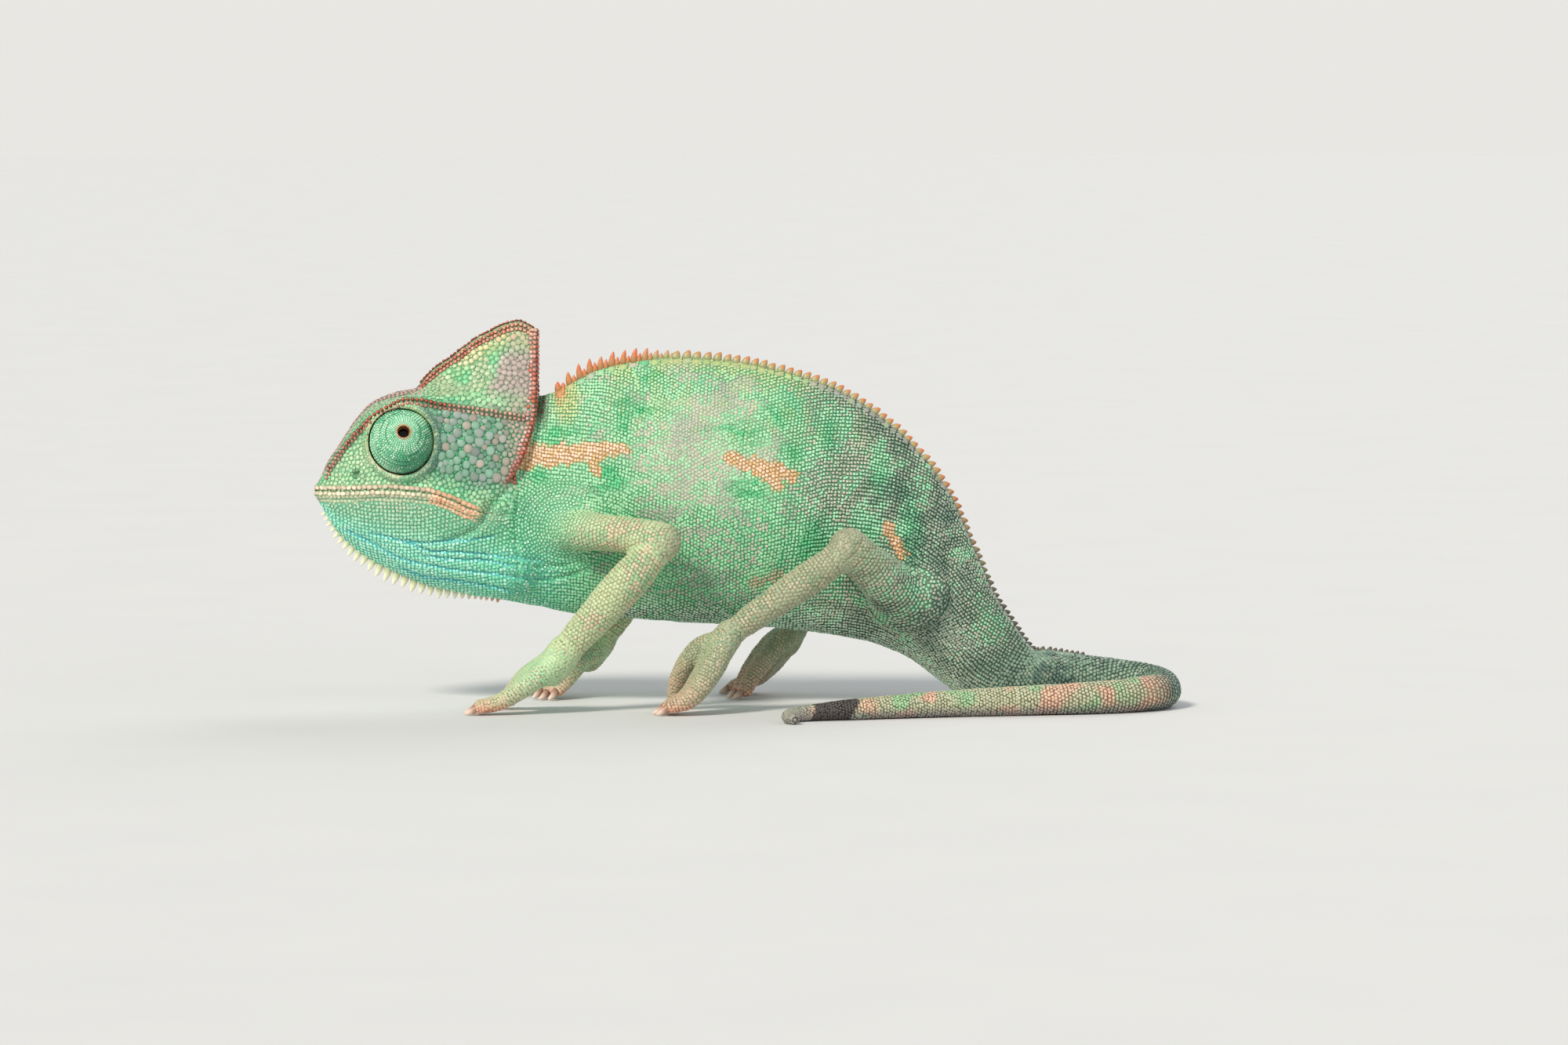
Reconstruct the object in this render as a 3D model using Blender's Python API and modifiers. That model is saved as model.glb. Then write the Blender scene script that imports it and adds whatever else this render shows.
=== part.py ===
"""A young veiled chameleon, life size, as a still display model.

Run it with blender --background --python part.py, or from Blender's text editor.
The animal faces -X and its left side faces -Y. Z is up and the floor is at zero.
Sizes here are in millimetres; each finished mesh is scaled to metres.
"""

import math

import bmesh
import bpy
import numpy as np
from mathutils import Matrix, Vector
from mathutils.bvhtree import BVHTree

MM = 0.001
GAP = 0.3               # left between two nodes that touch
MIDLINE_Y = 3.9         # the body's own plane of symmetry, so that the whole stands centred
LEFT, RIGHT = -1, 1     # sides, as the sign of Y from the midline

# Skin colours, as linear red, green and blue.
THROAT_GREEN = (0.16, 0.56, 0.36)
BODY_GREEN = (0.14, 0.36, 0.20)
LIMB_GREEN = (0.24, 0.34, 0.20)
TAIL_GREEN = (0.22, 0.27, 0.17)
CASQUE_GREEN = (0.33, 0.45, 0.24)
TURRET_GREEN = (0.08, 0.37, 0.20)
EYE_DARK = (0.02, 0.015, 0.01)


# Curves through a few points

def through(points, at):
    """Smooth values at the given places, through rows of (place, value, ...), with no overshoot."""
    rows = np.array(points, float)
    places, values = rows[:, 0], rows[:, 1:]
    span = np.diff(places)[:, None]
    slope = np.diff(values, axis=0) / span
    before, after = slope[:-1], slope[1:]
    turns = before * after <= 0
    total = np.where(turns, 1.0, before + after)
    lean = np.vstack([slope[:1], np.where(turns, 0.0, 2 * before * after / total), slope[-1:]])
    at = np.clip(np.asarray(at, float), places[0], places[-1])
    i = np.clip(np.searchsorted(places, at, side="right") - 1, 0, len(places) - 2)
    f = ((at - places[i]) / span[i, 0])[:, None]
    return ((1 + 2 * f) * (1 - f) ** 2 * values[i] + f * (1 - f) ** 2 * span[i] * lean[i]
            + f ** 2 * (3 - 2 * f) * values[i + 1] - f ** 2 * (1 - f) * span[i] * lean[i + 1])


def spline(points, at, closed=False):
    """Catmull-Rom curve through rows of values, read at fractional row numbers."""
    rows = np.array(points, float)
    count = len(rows)
    at = np.asarray(at, float)
    i = np.floor(at).astype(int)
    if not closed:
        i = np.clip(i, 0, count - 2)
    f = (at - i)[:, None]
    around = [(i + k) % count if closed else np.clip(i + k, 0, count - 1) for k in (-1, 0, 1, 2)]
    a, b, c, d = (rows[k] for k in around)
    return 0.5 * (2 * b + (c - a) * f + (2 * a - 5 * b + 4 * c - d) * f ** 2
                  + (3 * b - a - 3 * c + d) * f ** 3)


def unit(vectors):
    return vectors / np.linalg.norm(vectors, axis=-1, keepdims=True)


# Meshes, solids and cuts

def new_object(name, mesh):
    item = bpy.data.objects.new(name, mesh)
    bpy.context.scene.collection.objects.link(item)
    return item


def loft(name, rings, mirrored_caps=False):
    """Closed surface through a stack of rings with as many points each.

    Mirrored caps join each point of an end ring to its mirror image; others close as one face.
    """
    rings = np.asarray(rings, float)
    count, sides = rings.shape[:2]
    form = bmesh.new()
    rows = [[form.verts.new(point) for point in ring] for ring in rings]
    for low, high in zip(rows[:-1], rows[1:]):
        for j in range(sides):
            k = (j + 1) % sides
            form.faces.new((low[j], low[k], high[k], high[j]))
    for row in (rows[0], rows[-1]):
        if not mirrored_caps:
            form.faces.new(row)
            continue
        half = sides // 2
        for j in range(half):
            corners = [row[j], row[j + 1], row[-j - 1], row[-j % sides]]
            form.faces.new(list(dict.fromkeys(corners)))
    bmesh.ops.recalc_face_normals(form, faces=form.faces)
    mesh = bpy.data.meshes.new(name)
    form.to_mesh(mesh)
    form.free()
    if signed_volume(mesh) < 0:
        mesh.flip_normals()
    return new_object(name, mesh)


def signed_volume(mesh):
    form = bmesh.new()
    form.from_mesh(mesh)
    volume = form.calc_volume(signed=True)
    form.free()
    return volume


def applied(item):
    """The object with its modifiers and its place made part of its own mesh."""
    bpy.context.view_layer.update()
    graph = bpy.context.evaluated_depsgraph_get()
    mesh = bpy.data.meshes.new_from_object(item.evaluated_get(graph))
    mesh.transform(item.matrix_world)
    form = bmesh.new()
    form.from_mesh(mesh)
    bmesh.ops.remove_doubles(form, verts=form.verts, dist=0.00002)
    form.to_mesh(mesh)
    form.free()
    name = item.name
    bpy.data.objects.remove(item)
    return new_object(name, mesh)


def inflated(item, by):
    """A copy whose surface lies this far outside the object's."""
    copy = new_object(item.name + "_grown", item.data.copy())
    grow = copy.modifiers.new("grow", "DISPLACE")
    grow.mid_level = 0.0
    grow.strength = by
    return applied(copy)


def largest_body(item):
    """Keeps the largest closed surface and drops the scraps that a cut leaves."""
    form = bmesh.new()
    form.from_mesh(item.data)
    form.faces.ensure_lookup_table()
    seen = set()
    bodies = []
    for face in form.faces:
        if face in seen:
            continue
        body, edge = [], [face]
        seen.add(face)
        while edge:
            here = edge.pop()
            body.append(here)
            for line in here.edges:
                for other in line.link_faces:
                    if other not in seen:
                        seen.add(other)
                        edge.append(other)
        bodies.append(body)

    def reach(body):
        corners = np.array([vert.co for part in body for vert in part.verts])
        return float(np.prod(corners.max(0) - corners.min(0)))

    keep = set(max(bodies, key=reach))
    drop = [face for face in form.faces if face not in keep]
    bmesh.ops.delete(form, geom=drop, context="FACES")
    form.to_mesh(item.data)
    form.free()
    return item


def union(item, others):
    """Joins closed pieces to an object, and removes the pieces."""
    group = bpy.data.collections.new(item.name + "_pieces")
    bpy.context.scene.collection.children.link(group)
    for other in others:
        group.objects.link(other)
    join = item.modifiers.new("join", "BOOLEAN")
    join.operation = "UNION"
    join.operand_type = "COLLECTION"
    join.collection = group
    join.solver = "MANIFOLD"
    joined = applied(item)
    for other in list(group.objects):
        bpy.data.objects.remove(other)
    bpy.data.collections.remove(group)
    return largest_body(joined)


def cut(item, cutters, keep_cutters=False):
    """Takes closed cutters away from an object."""
    for number, cutter in enumerate(cutters):
        step = item.modifiers.new(f"cut_{number}", "BOOLEAN")
        step.operation = "DIFFERENCE"
        step.object = cutter
        step.solver = "MANIFOLD"
    left = applied(item)
    if not keep_cutters:
        for cutter in cutters:
            bpy.data.objects.remove(cutter)
    return largest_body(left)


def on_floor(points):
    """Points below the floor are laid on it, which makes the small flats that the animal rests on."""
    points = np.array(points, float)
    points[..., 2] = np.maximum(points[..., 2], 0.0)
    return points


def tube(name, path, sides=10, samples=3):
    """Round-ended limb through rows of (x, y, z, radius)."""
    rows = spline(path, np.linspace(0, len(path) - 1, samples * (len(path) - 1) + 1))
    centre, radius = rows[:, :3], rows[:, 3]
    along = unit(np.gradient(centre, axis=0))
    side = unit(np.cross(along, (0.0, 0.0, 1.0)))
    up = np.cross(side, along)
    rounds = np.radians([66, 33])
    stations = [(centre[0] - along[0] * radius[0] * math.sin(a), radius[0] * math.cos(a), 0)
                for a in rounds]
    stations += [(centre[k], radius[k], k) for k in range(len(rows))]
    stations += [(centre[-1] + along[-1] * radius[-1] * math.sin(a), radius[-1] * math.cos(a), -1)
                 for a in rounds[::-1]]
    turn = np.linspace(0, 2 * math.pi, sides, endpoint=False)[:, None]
    rings = [place + size * (np.cos(turn) * side[k] + np.sin(turn) * up[k])
             for place, size, k in stations]
    return loft(name, on_floor(rings))


def spike(name, root, tip, width, sides=5):
    """Pointed horn scale from a root sunk in the skin to its blunted tip."""
    root, tip = np.asarray(root, float), np.asarray(tip, float)
    along = unit(tip - root)
    across = unit(np.cross(along, (0.0, 1.0, 0.0)))
    beside = np.cross(along, across)
    turn = np.linspace(0, 2 * math.pi, sides, endpoint=False)[:, None]
    rings = [place + width / 2 * size * (np.cos(turn) * across + 0.75 * np.sin(turn) * beside)
             for place, size in ((root, 1.0), (tip, 0.16))]
    return loft(name, rings)


# Head
# Lines that run from the snout to the back of the head, as (x, z, half width) from the front.

CROWN = [(-41.3, 21.2, 0), (-39.8, 24.0, 0), (-35.7, 29.2, 0), (-33.5, 30.1, 0), (-31.6, 30.4, 0),
         (-30.4, 31.8, 0), (-28.1, 33.5, 0), (-24.9, 35.7, 0), (-21.8, 36.8, 0), (-20.0, 35.9, 0)]
RIDGE = [(-41.3, 21.1, 0.4), (-39.8, 23.8, 0.8), (-35.7, 29.0, 1.1), (-31.6, 30.1, 1.1),
         (-28.1, 33.0, 0.6), (-24.9, 35.2, 0.5), (-21.8, 36.2, 0.5), (-20.0, 35.3, 0.45)]
WALL = [(-41.3, 21.0, 0.7), (-39.8, 23.5, 1.5), (-35.7, 28.6, 2.4), (-31.6, 29.9, 2.6),
        (-28.0, 31.0, 1.8), (-22.5, 32.6, 1.4), (-20.1, 31.6, 1.1)]
BROW = [(-41.3, 20.9, 0.9), (-39.8, 23.0, 2.1), (-37.8, 25.6, 2.9), (-35.0, 28.3, 3.7),
        (-32.0, 29.5, 4.0), (-29.1, 29.0, 3.9), (-26.0, 28.6, 3.7), (-20.2, 27.6, 2.4)]
TEMPLE = [(-41.4, 20.9, 0.95), (-39.8, 22.2, 2.3), (-36.5, 24.2, 3.4), (-32.5, 25.6, 4.2),
          (-27.0, 25.0, 4.9), (-21.2, 24.4, 3.7)]
UPPER_LIP = [(-41.5, 20.85, 0.9), (-39.5, 21.3, 2.4), (-36.5, 21.7, 3.5), (-31.0, 21.7, 4.5),
             (-26.5, 20.9, 5.0), (-22.2, 20.4, 4.3)]
LOWER_LIP = [(-41.5, 20.3, 0.85), (-39.2, 20.1, 2.4), (-36.0, 20.0, 3.5), (-31.0, 19.8, 4.3),
             (-26.5, 18.6, 4.7), (-22.6, 18.2, 4.3)]
JAW = [(-41.3, 19.9, 0.6), (-39.4, 18.6, 2.0), (-36.0, 17.6, 3.1), (-30.5, 16.4, 4.0),
       (-26.0, 15.8, 4.3), (-22.9, 15.6, 4.2)]
THROAT = [(-41.2, 19.7, 0.4), (-39.6, 17.4, 1.1), (-36.0, 15.3, 1.8), (-30.5, 13.3, 2.6),
          (-23.0, 12.3, 3.5)]
KEEL_SIDE = [(-41.1, 19.5, 0.2), (-39.4, 16.9, 0.5), (-36.0, 14.2, 0.7), (-30.5, 11.9, 1.1),
             (-23.0, 10.4, 2.0)]
KEEL = [(-41.0, 19.4, 0), (-40.1, 17.7, 0), (-38.9, 16.0, 0), (-37.3, 14.6, 0), (-34.2, 12.8, 0),
        (-29.5, 11.1, 0), (-23.0, 9.9, 0)]
HEAD_LINES = [KEEL, KEEL_SIDE, THROAT, JAW, LOWER_LIP, UPPER_LIP, TEMPLE, BROW, WALL, RIDGE, CROWN]

MOUTH = [(-43.0, 20.6), (-38.9, 20.7), (-34.2, 20.9), (-31.0, 20.7), (-29.5, 20.45),
         (-27.5, 19.7), (-25.7, 18.9), (-23.5, 18.5), (-18.0, 18.2)]
CASQUE_FOOT = [(-37.0, 30.9), (-31.0, 30.15), (-27.0, 29.9), (-18.0, 29.2)]
BACK_EDGE = [(-20.3, 36.0), (-20.4, 30.1), (-20.5, 27.3), (-21.3, 24.9), (-22.5, 21.3)]

EYE = Vector((-32.8, 3.55, 25.5))      # turret centre, Y as the distance from the midline
TURRET_RADIUS = 3.15
TURRET_BACK = 1.8                      # how far behind its centre the turret ends
LID_THICKNESS = 0.6
LID_OPENING = 0.55                     # radius of the hole that the fused lids leave
LID_CONE = 0.22                        # how far the lids rise round that hole
GAZE = Vector((0.08, 0.93, 0.34))      # where it looks, Y away from the midline
ORBIT_RIM = 0.42                       # radius of the rounded ring round the turret
ORBIT_FACING = Vector((-0.16, 1.0, 0.06))
NOSTRIL = Vector((-37.2, 3.35, 22.3))
NOSTRIL_RADIUS = 0.42
RIM = 0.42                             # radius of the beaded edge of casque and brow
LIP = 0.36                             # radius of the rounded lip
LIP_LIFT = 0.5                         # how far a lip's middle lies from the line of the mouth
HEAD_RINGS = 22
HEAD_STEPS = 2                         # points from one line to the next


def head_rings(count, steps):
    """Rings of points (x, y, z) round the head, y from the midline."""
    share = np.linspace(0, 1, count) ** 1.25
    lines = []
    for line in HEAD_LINES:
        first, last = line[0][0], line[-1][0]
        place = first + (last - first) * share
        lines.append(np.column_stack([place, through(line, place)]))
    left = np.array(lines).transpose(1, 0, 2)
    half = len(HEAD_LINES) - 1
    at = np.arange(0, 2 * half, 1 / steps)
    rings = []
    for row in left:
        right = row[-2:0:-1] * (1, 1, -1)
        ring = spline(np.vstack([row, right]), at, closed=True)
        rings.append(ring[:, [0, 2, 1]])
    return np.array(rings)


def edge_tube(name, points, radius):
    """Raised, rounded edge along a line of (x, y, z)."""
    return tube(name, [(*point, radius) for point in points], sides=6, samples=1)


def ribbon_cutter(name, line, thickness, reach=14.0):
    """A thin wall that stands across the body along a line of (x, z), to part two nodes."""
    fine = through([(p[0], p[1]) for p in line], np.linspace(line[0][0], line[-1][0], 24))
    places = np.linspace(line[0][0], line[-1][0], 24)
    rings = []
    for x, z in zip(places, fine[:, 0]):
        low, high = z - thickness / 2, z + thickness / 2
        rings.append([(x, -reach, low), (x, reach, low), (x, reach, high), (x, -reach, high)])
    return loft(name, rings)


def turned(name, profile, steps):
    """Round form from (radius, height) points that run down its outer side from the top."""
    form = bmesh.new()
    points = [form.verts.new((radius, 0.0, height)) for radius, height in profile]
    for first, second in zip(points[:-1], points[1:]):
        form.edges.new((first, second))
    mesh = bpy.data.meshes.new(name)
    form.to_mesh(mesh)
    form.free()
    item = new_object(name, mesh)
    spin = item.modifiers.new("spin", "SCREW")
    spin.axis = "Z"
    spin.steps = steps
    spin.render_steps = steps
    spin.use_merge_vertices = True
    spin.merge_threshold = 0.0001
    item = applied(item)
    if signed_volume(item.data) < 0:
        item.data.flip_normals()
    return item


def mirrored_place(point, side):
    return Vector((point.x, point.y * side, point.z))


def sphere_arc(radius, narrowest, widest, count, cone=0.0):
    """Points (radius, height) down the side of a ball, with a low cone round its top."""
    angles = np.linspace(narrowest, widest, count)
    return [(radius * math.sin(angle), radius * math.cos(angle) + cone * math.exp(-(angle / 0.35) ** 2))
            for angle in angles]


def set_in_orbit(item, side):
    """Turns a round form from +Z to the gaze, and moves it to the eye's place."""
    facing = mirrored_place(GAZE, side).normalized().to_track_quat("Z", "Y").to_matrix().to_4x4()
    item.data.transform(Matrix.Translation(mirrored_place(EYE, side)) @ facing)
    return item


def make_turret(name, side, grow=0.0):
    """The whole round form of ball and lids, which the head's socket is cut to."""
    radius = TURRET_RADIUS + grow
    widest = math.pi - math.acos((TURRET_BACK + grow) / radius)
    profile = sphere_arc(radius, 0.0, widest, 9, LID_CONE) + [(0.0, -TURRET_BACK - grow)]
    return set_in_orbit(turned(name, profile, steps=18), side)


def make_lids(name, side):
    """Fused, scaly lids: a cup round the ball, open only at the small hole that it looks through."""
    inner = TURRET_RADIUS - LID_THICKNESS
    outer_arc = sphere_arc(TURRET_RADIUS, math.asin(LID_OPENING / TURRET_RADIUS),
                           math.pi - math.acos(TURRET_BACK / TURRET_RADIUS), 9, LID_CONE)
    inner_arc = sphere_arc(inner, math.asin(LID_OPENING / inner),
                           math.pi - math.acos(TURRET_BACK / inner), 6)
    profile = outer_arc + inner_arc[::-1] + outer_arc[:1]
    return set_in_orbit(turned(name, profile, steps=18), side)


def make_ball(name, side):
    """The eyeball behind the lids, clear of them, flat at the back of the socket."""
    radius = TURRET_RADIUS - LID_THICKNESS - GAP
    profile = sphere_arc(radius, 0.0, math.pi - math.acos(TURRET_BACK / radius), 7)
    profile.append((0.0, -TURRET_BACK))
    return set_in_orbit(turned(name, profile, steps=14), side)


def orbit_rim(name, side):
    bpy.ops.mesh.primitive_torus_add(major_segments=20, minor_segments=6,
                                     major_radius=TURRET_RADIUS + 0.3, minor_radius=ORBIT_RIM)
    item = bpy.context.object
    item.name = name
    facing = mirrored_place(ORBIT_FACING, side).normalized().to_track_quat("Z", "Y")
    centre = mirrored_place(EYE, side) + Vector((0, side * 0.75, 0))
    item.data.transform(Matrix.Translation(centre) @ facing.to_matrix().to_4x4())
    return item


def surface_tree(item):
    form = bmesh.new()
    form.from_mesh(item.data)
    tree = BVHTree.FromBMesh(form)
    form.free()
    return tree


def on_surface(tree, places, heights, side, sink=0.1):
    """Points (x, y, z) a little inside the skin of one side, at the given x and z."""
    points = []
    for x, z in zip(places, heights):
        hit = tree.ray_cast(Vector((x, side * 20.0, z)), Vector((0.0, -side, 0.0)))[0]
        if hit is not None:
            points.append((x, hit.y - side * sink, z))
    return points


def gular_crest():
    """Row of white cones under chin and throat, longest below the middle of the jaw."""
    spikes = []
    place = -40.4
    while place < -25.0:
        share = (place + 40.4) / 15.4
        length = 0.75 + 0.95 * math.sin(math.pi * min(1.0, share * 1.1)) - 0.40 * share
        width = 0.55 + 0.40 * math.sin(math.pi * min(1.0, share * 1.2))
        here, ahead = through(KEEL, [place, place + 0.4])[:, 0]
        slope = np.array([0.4, 0.0, ahead - here])
        out = unit(np.array([slope[2], 0.0, -slope[0]]))
        root = np.array([place, 0.0, here])
        lean = out + np.array([-0.10, 0.0, 0.0])
        spikes.append(spike(f"gular_{len(spikes)}", root - out * 0.55, root + unit(lean) * length,
                            width + 0.25))
        run = np.linalg.norm(slope) / 0.4
        place += (width + 0.12) / run
    return spikes


def head_edges(tree):
    """Beaded edges of casque and brow, rims of the eye sockets, and lips."""
    places = np.linspace(-31.2, -20.3, 9)
    crown = [(x, 0.0, z - 0.3) for x, z in zip(places, through(CROWN, places)[:, 0])]
    edges = [edge_tube("rim_crown", crown, RIM)]
    for side in (LEFT, RIGHT):
        places = np.linspace(-39.8, -20.6, 16)
        brow = through(BROW, places)
        brow = [(x, side * (width - 0.05), z) for x, (z, width) in zip(places, brow)]
        edges.append(edge_tube(f"rim_brow_{side}", brow, RIM))
        heights = np.array([35.7, 33.5, 31.2, 28.5, 26.0, 23.8, 21.8])
        back = np.interp(heights, [p[1] for p in BACK_EDGE[::-1]], [p[0] for p in BACK_EDGE[::-1]])
        edges.append(edge_tube(f"rim_back_{side}", on_surface(tree, back, heights, side), RIM))
        places = np.linspace(-41.1, -25.4, 13)
        mouth = through(MOUTH, places)[:, 0]
        for lift in (LIP_LIFT, -LIP_LIFT):
            lip = on_surface(tree, places, mouth + lift, side)
            edges.append(edge_tube(f"lip_{side}_{lift}", lip, LIP))
        edges.append(orbit_rim(f"orbit_{side}", side))
    return edges


def make_head():
    """The head with its casque and throat, then parted at the mouth and at the casque's foot."""
    whole = loft("whole_head", head_rings(HEAD_RINGS, HEAD_STEPS), mirrored_caps=True)
    whole = union(whole, head_edges(surface_tree(whole)))
    grown = inflated(whole, GAP)
    for side in (LEFT, RIGHT):
        bpy.ops.mesh.primitive_uv_sphere_add(segments=8, ring_count=6, radius=NOSTRIL_RADIUS)
        nostril = bpy.context.object
        nostril.data.transform(Matrix.Translation(mirrored_place(NOSTRIL, side)))
        whole = cut(whole, [make_turret("socket", side, grow=GAP), nostril])
    whole = union(whole, gular_crest())

    def between(name, low, high):
        """The part of the head above one dividing line and below the other."""
        part = new_object(name, whole.data.copy())
        cutters = []
        for line, sign in ((low, -1), (high, 1)):
            if line:
                reach = 30.0
                middle = [(x, z + sign * (reach - GAP) / 2) for x, z in line]
                cutters.append(ribbon_cutter(name + "_cutter", middle, reach))
        return cut(part, cutters)

    parts = [between("lower_jaw", None, MOUTH), between("head", MOUTH, CASQUE_FOOT),
             between("casque", CASQUE_FOOT, None)]
    bpy.data.objects.remove(whole)
    return parts, grown


# Body and tail
# Ribs run from the belly line to the back line: belly x and z, back x and z, half width, and
# how far the section is pinched towards the ridge of the back.

RIBS = [(-25.6, 11.2, -24.9, 26.9, 3.4, 0.20), (-23.2, 9.9, -21.6, 29.2, 3.8, 0.35),
        (-20.4, 9.3, -18.7, 30.0, 4.2, 0.45), (-15.5, 8.6, -14.3, 32.2, 5.0, 0.50),
        (-10.7, 8.2, -9.2, 33.2, 5.6, 0.55), (-5.4, 7.8, -4.0, 33.3, 6.0, 0.55),
        (0.5, 7.5, 2.4, 32.3, 6.0, 0.55), (6.5, 6.9, 9.0, 30.1, 5.7, 0.55),
        (11.7, 6.0, 14.6, 26.2, 5.2, 0.50), (15.4, 4.5, 19.0, 21.0, 4.5, 0.42),
        (18.0, 2.6, 21.7, 15.2, 3.7, 0.35), (20.2, 0.9, 24.0, 10.2, 3.1, 0.25)]
# The tail on the floor: x, y from the midline, height, half width, and slope of the section.
TAIL = [(24.9, 0.3, 7.4, 2.75, 0.80), (28.0, 0.9, 5.8, 2.4, 0.34), (31.6, 1.7, 5.0, 2.2, 0.10),
        (35.2, 1.9, 4.5, 2.0, 0), (38.5, 0.3, 4.1, 1.9, 0), (39.7, -3.0, 3.8, 1.8, 0),
        (38.0, -6.3, 3.5, 1.7, 0), (34.6, -8.5, 3.3, 1.6, 0), (30.2, -9.9, 3.1, 1.5, 0),
        (25.2, -10.9, 2.9, 1.45, 0), (19.9, -12.0, 2.7, 1.35, 0), (14.6, -13.6, 2.4, 1.2, 0),
        (9.8, -15.2, 2.1, 1.05, 0), (6.0, -16.4, 1.7, 0.85, 0), (3.9, -18.2, 1.4, 0.7, 0),
        (4.6, -20.2, 1.0, 0.5, 0)]
FLOOR_SINK = 0.92                      # a ring's centre height over its half height, on the floor
NECK_END = 2.1                         # rib number where neck and torso meet
TORSO_END = 11.3                       # where the tail begins
TAIL_CUTS = [14.5, 16.5, 18.5, 21.5]   # where the tail is divided into lengths
CREST_START = 2.15                     # where the crest of the back begins
BODY_SIDES = 20


def body_controls():
    """Control rings as rows: centre, up direction, half height, half width, pinch."""
    rows = []
    for belly_x, belly_z, back_x, back_z, half_width, pinch in RIBS:
        belly, back = np.array([belly_x, 0, belly_z]), np.array([back_x, 0, back_z])
        half = np.linalg.norm(back - belly) / 2
        rows.append([*((belly + back) / 2), *((back - belly) / (2 * half)), half, half_width, pinch])
    for x, y, height, half_width, lean in TAIL:
        up = unit(np.array([lean, 0.0, 1.0]))
        rows.append([x, y, height / 2 * FLOOR_SINK * up[2], *up, height / 2, half_width, 0.1])
    return np.array(rows)


def body_rings(at, sides, grow=0.0):
    """Rings of (x, y, z) at fractional control numbers, y from the midline."""
    controls = body_controls()
    rows = spline(controls, at)
    step = 0.02
    ahead, behind = (spline(controls, np.clip(at + s, 0, len(controls) - 1))[:, :3]
                     for s in (step, -step))
    along = unit(ahead - behind)
    up = unit(rows[:, 3:6])
    side = unit(np.cross(up, along))
    turn = np.linspace(0, 2 * math.pi, sides, endpoint=False)
    high = (1 - np.cos(turn)) / 2
    rings = []
    for row, upward, outward in zip(rows, up, side):
        half_height, half_width, pinch = row[6:9] + (grow, grow, 0.0)
        width = np.sin(turn) * half_width * (1 - pinch * high ** 3) * (1 - 0.35 * pinch * (1 - high) ** 4)
        height = -np.cos(turn) * half_height
        rings.append(row[:3] + height[:, None] * upward + width[:, None] * outward)
    return on_floor(rings)


def stretch(start, end, rings, gap_before=GAP / 2, gap_after=GAP / 2):
    """Control numbers for one length of the body, with half a gap left at each end."""
    controls = body_controls()

    def speed(at):
        first, second = spline(controls, np.array([at, at + 0.01]))[:, :3]
        return np.linalg.norm(second - first) / 0.01

    last = len(controls) - 1.02
    return np.linspace(start + gap_before / speed(min(start, last)),
                       end - gap_after / speed(min(end, last)), rings)


def dorsal_crest(start, end, first_height, last_height, first_pitch, last_pitch):
    """Saw-toothed row of cones along the back between two control numbers."""
    controls = body_controls()
    spikes = []
    at = start
    while at < end:
        share = (at - start) / (end - start)
        height = first_height + (last_height - first_height) * share
        pitch = first_pitch + (last_pitch - first_pitch) * share
        row, ahead = spline(controls, np.array([at, at + 0.02]))
        up = unit(row[3:6])
        crest = row[:3] + up * row[6]
        crest_ahead = ahead[:3] + unit(ahead[3:6]) * ahead[6]
        along = unit(crest_ahead - crest)
        out = unit(up - along * (up @ along))
        tip = crest + out * height + along * height * 0.45
        spikes.append(spike(f"dorsal_{len(spikes)}", crest - out * 0.5, tip, pitch * 1.05))
        at += pitch / (np.linalg.norm(crest_ahead - crest) / 0.02)
    return spikes


def make_body(head_grown):
    """Neck, torso and the lengths of the tail, with the crest of the back."""
    neck = loft("neck", body_rings(stretch(0, NECK_END, 7, gap_before=0), BODY_SIDES))
    neck = cut(neck, [head_grown], keep_cutters=True)
    torso = loft("torso", body_rings(stretch(NECK_END, TORSO_END, 24), BODY_SIDES))
    torso = union(torso, dorsal_crest(CREST_START, TORSO_END - 0.12, 1.2, 0.42, 1.25, 1.15))
    parts = [neck, torso]
    ends = [TORSO_END, *TAIL_CUTS, len(body_controls()) - 1]
    for number, (start, end) in enumerate(zip(ends[:-1], ends[1:])):
        count = max(5, round((end - start) * 2.4))
        sides = 16 if number < 1 else 12
        last = number == len(ends) - 2
        at = stretch(start, end, count, gap_after=0 if last else GAP / 2)
        length = loft(f"tail_{number + 1}", body_rings(at, sides))
        if number == 0:
            crest = dorsal_crest(start + 0.12, end - 0.12, 0.42, 0.25, 1.15, 1.15)
            length = union(length, crest)
        parts.append(length)
    return parts


# Legs
# Each limb is a list of joints, (x, y from the midline, z, radius). The left ones follow the
# photograph; the right ones, which it hides, stand a little behind them.

FORE_LEFT = {"upper": [(-18.4, 1.6, 17.0, 2.0), (-15.4, 5.4, 17.0, 1.9), (-12.0, 7.3, 16.9, 1.75),
                       (-8.1, 8.7, 16.2, 2.0)],
             "lower": [(-8.6, 8.9, 15.4, 1.6), (-11.2, 9.2, 12.6, 1.95), (-14.4, 9.3, 9.1, 1.75),
                       (-17.6, 9.3, 5.4, 1.4)],
             "palm": [(-17.3, 9.3, 5.8, 1.75), (-18.6, 9.0, 4.2, 1.7)],
             "outer": [(-17.8, 9.5, 5.0, 1.2), (-20.4, 10.0, 3.1, 1.15), (-23.2, 10.4, 1.25, 1.0),
                       (-25.3, 10.6, 0.75, 0.8)],
             "inner": [(-17.9, 8.7, 5.0, 1.2), (-20.0, 7.3, 4.0, 1.15), (-21.8, 5.8, 2.0, 1.0),
                       (-22.8, 4.9, 0.75, 0.8)]}
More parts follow.
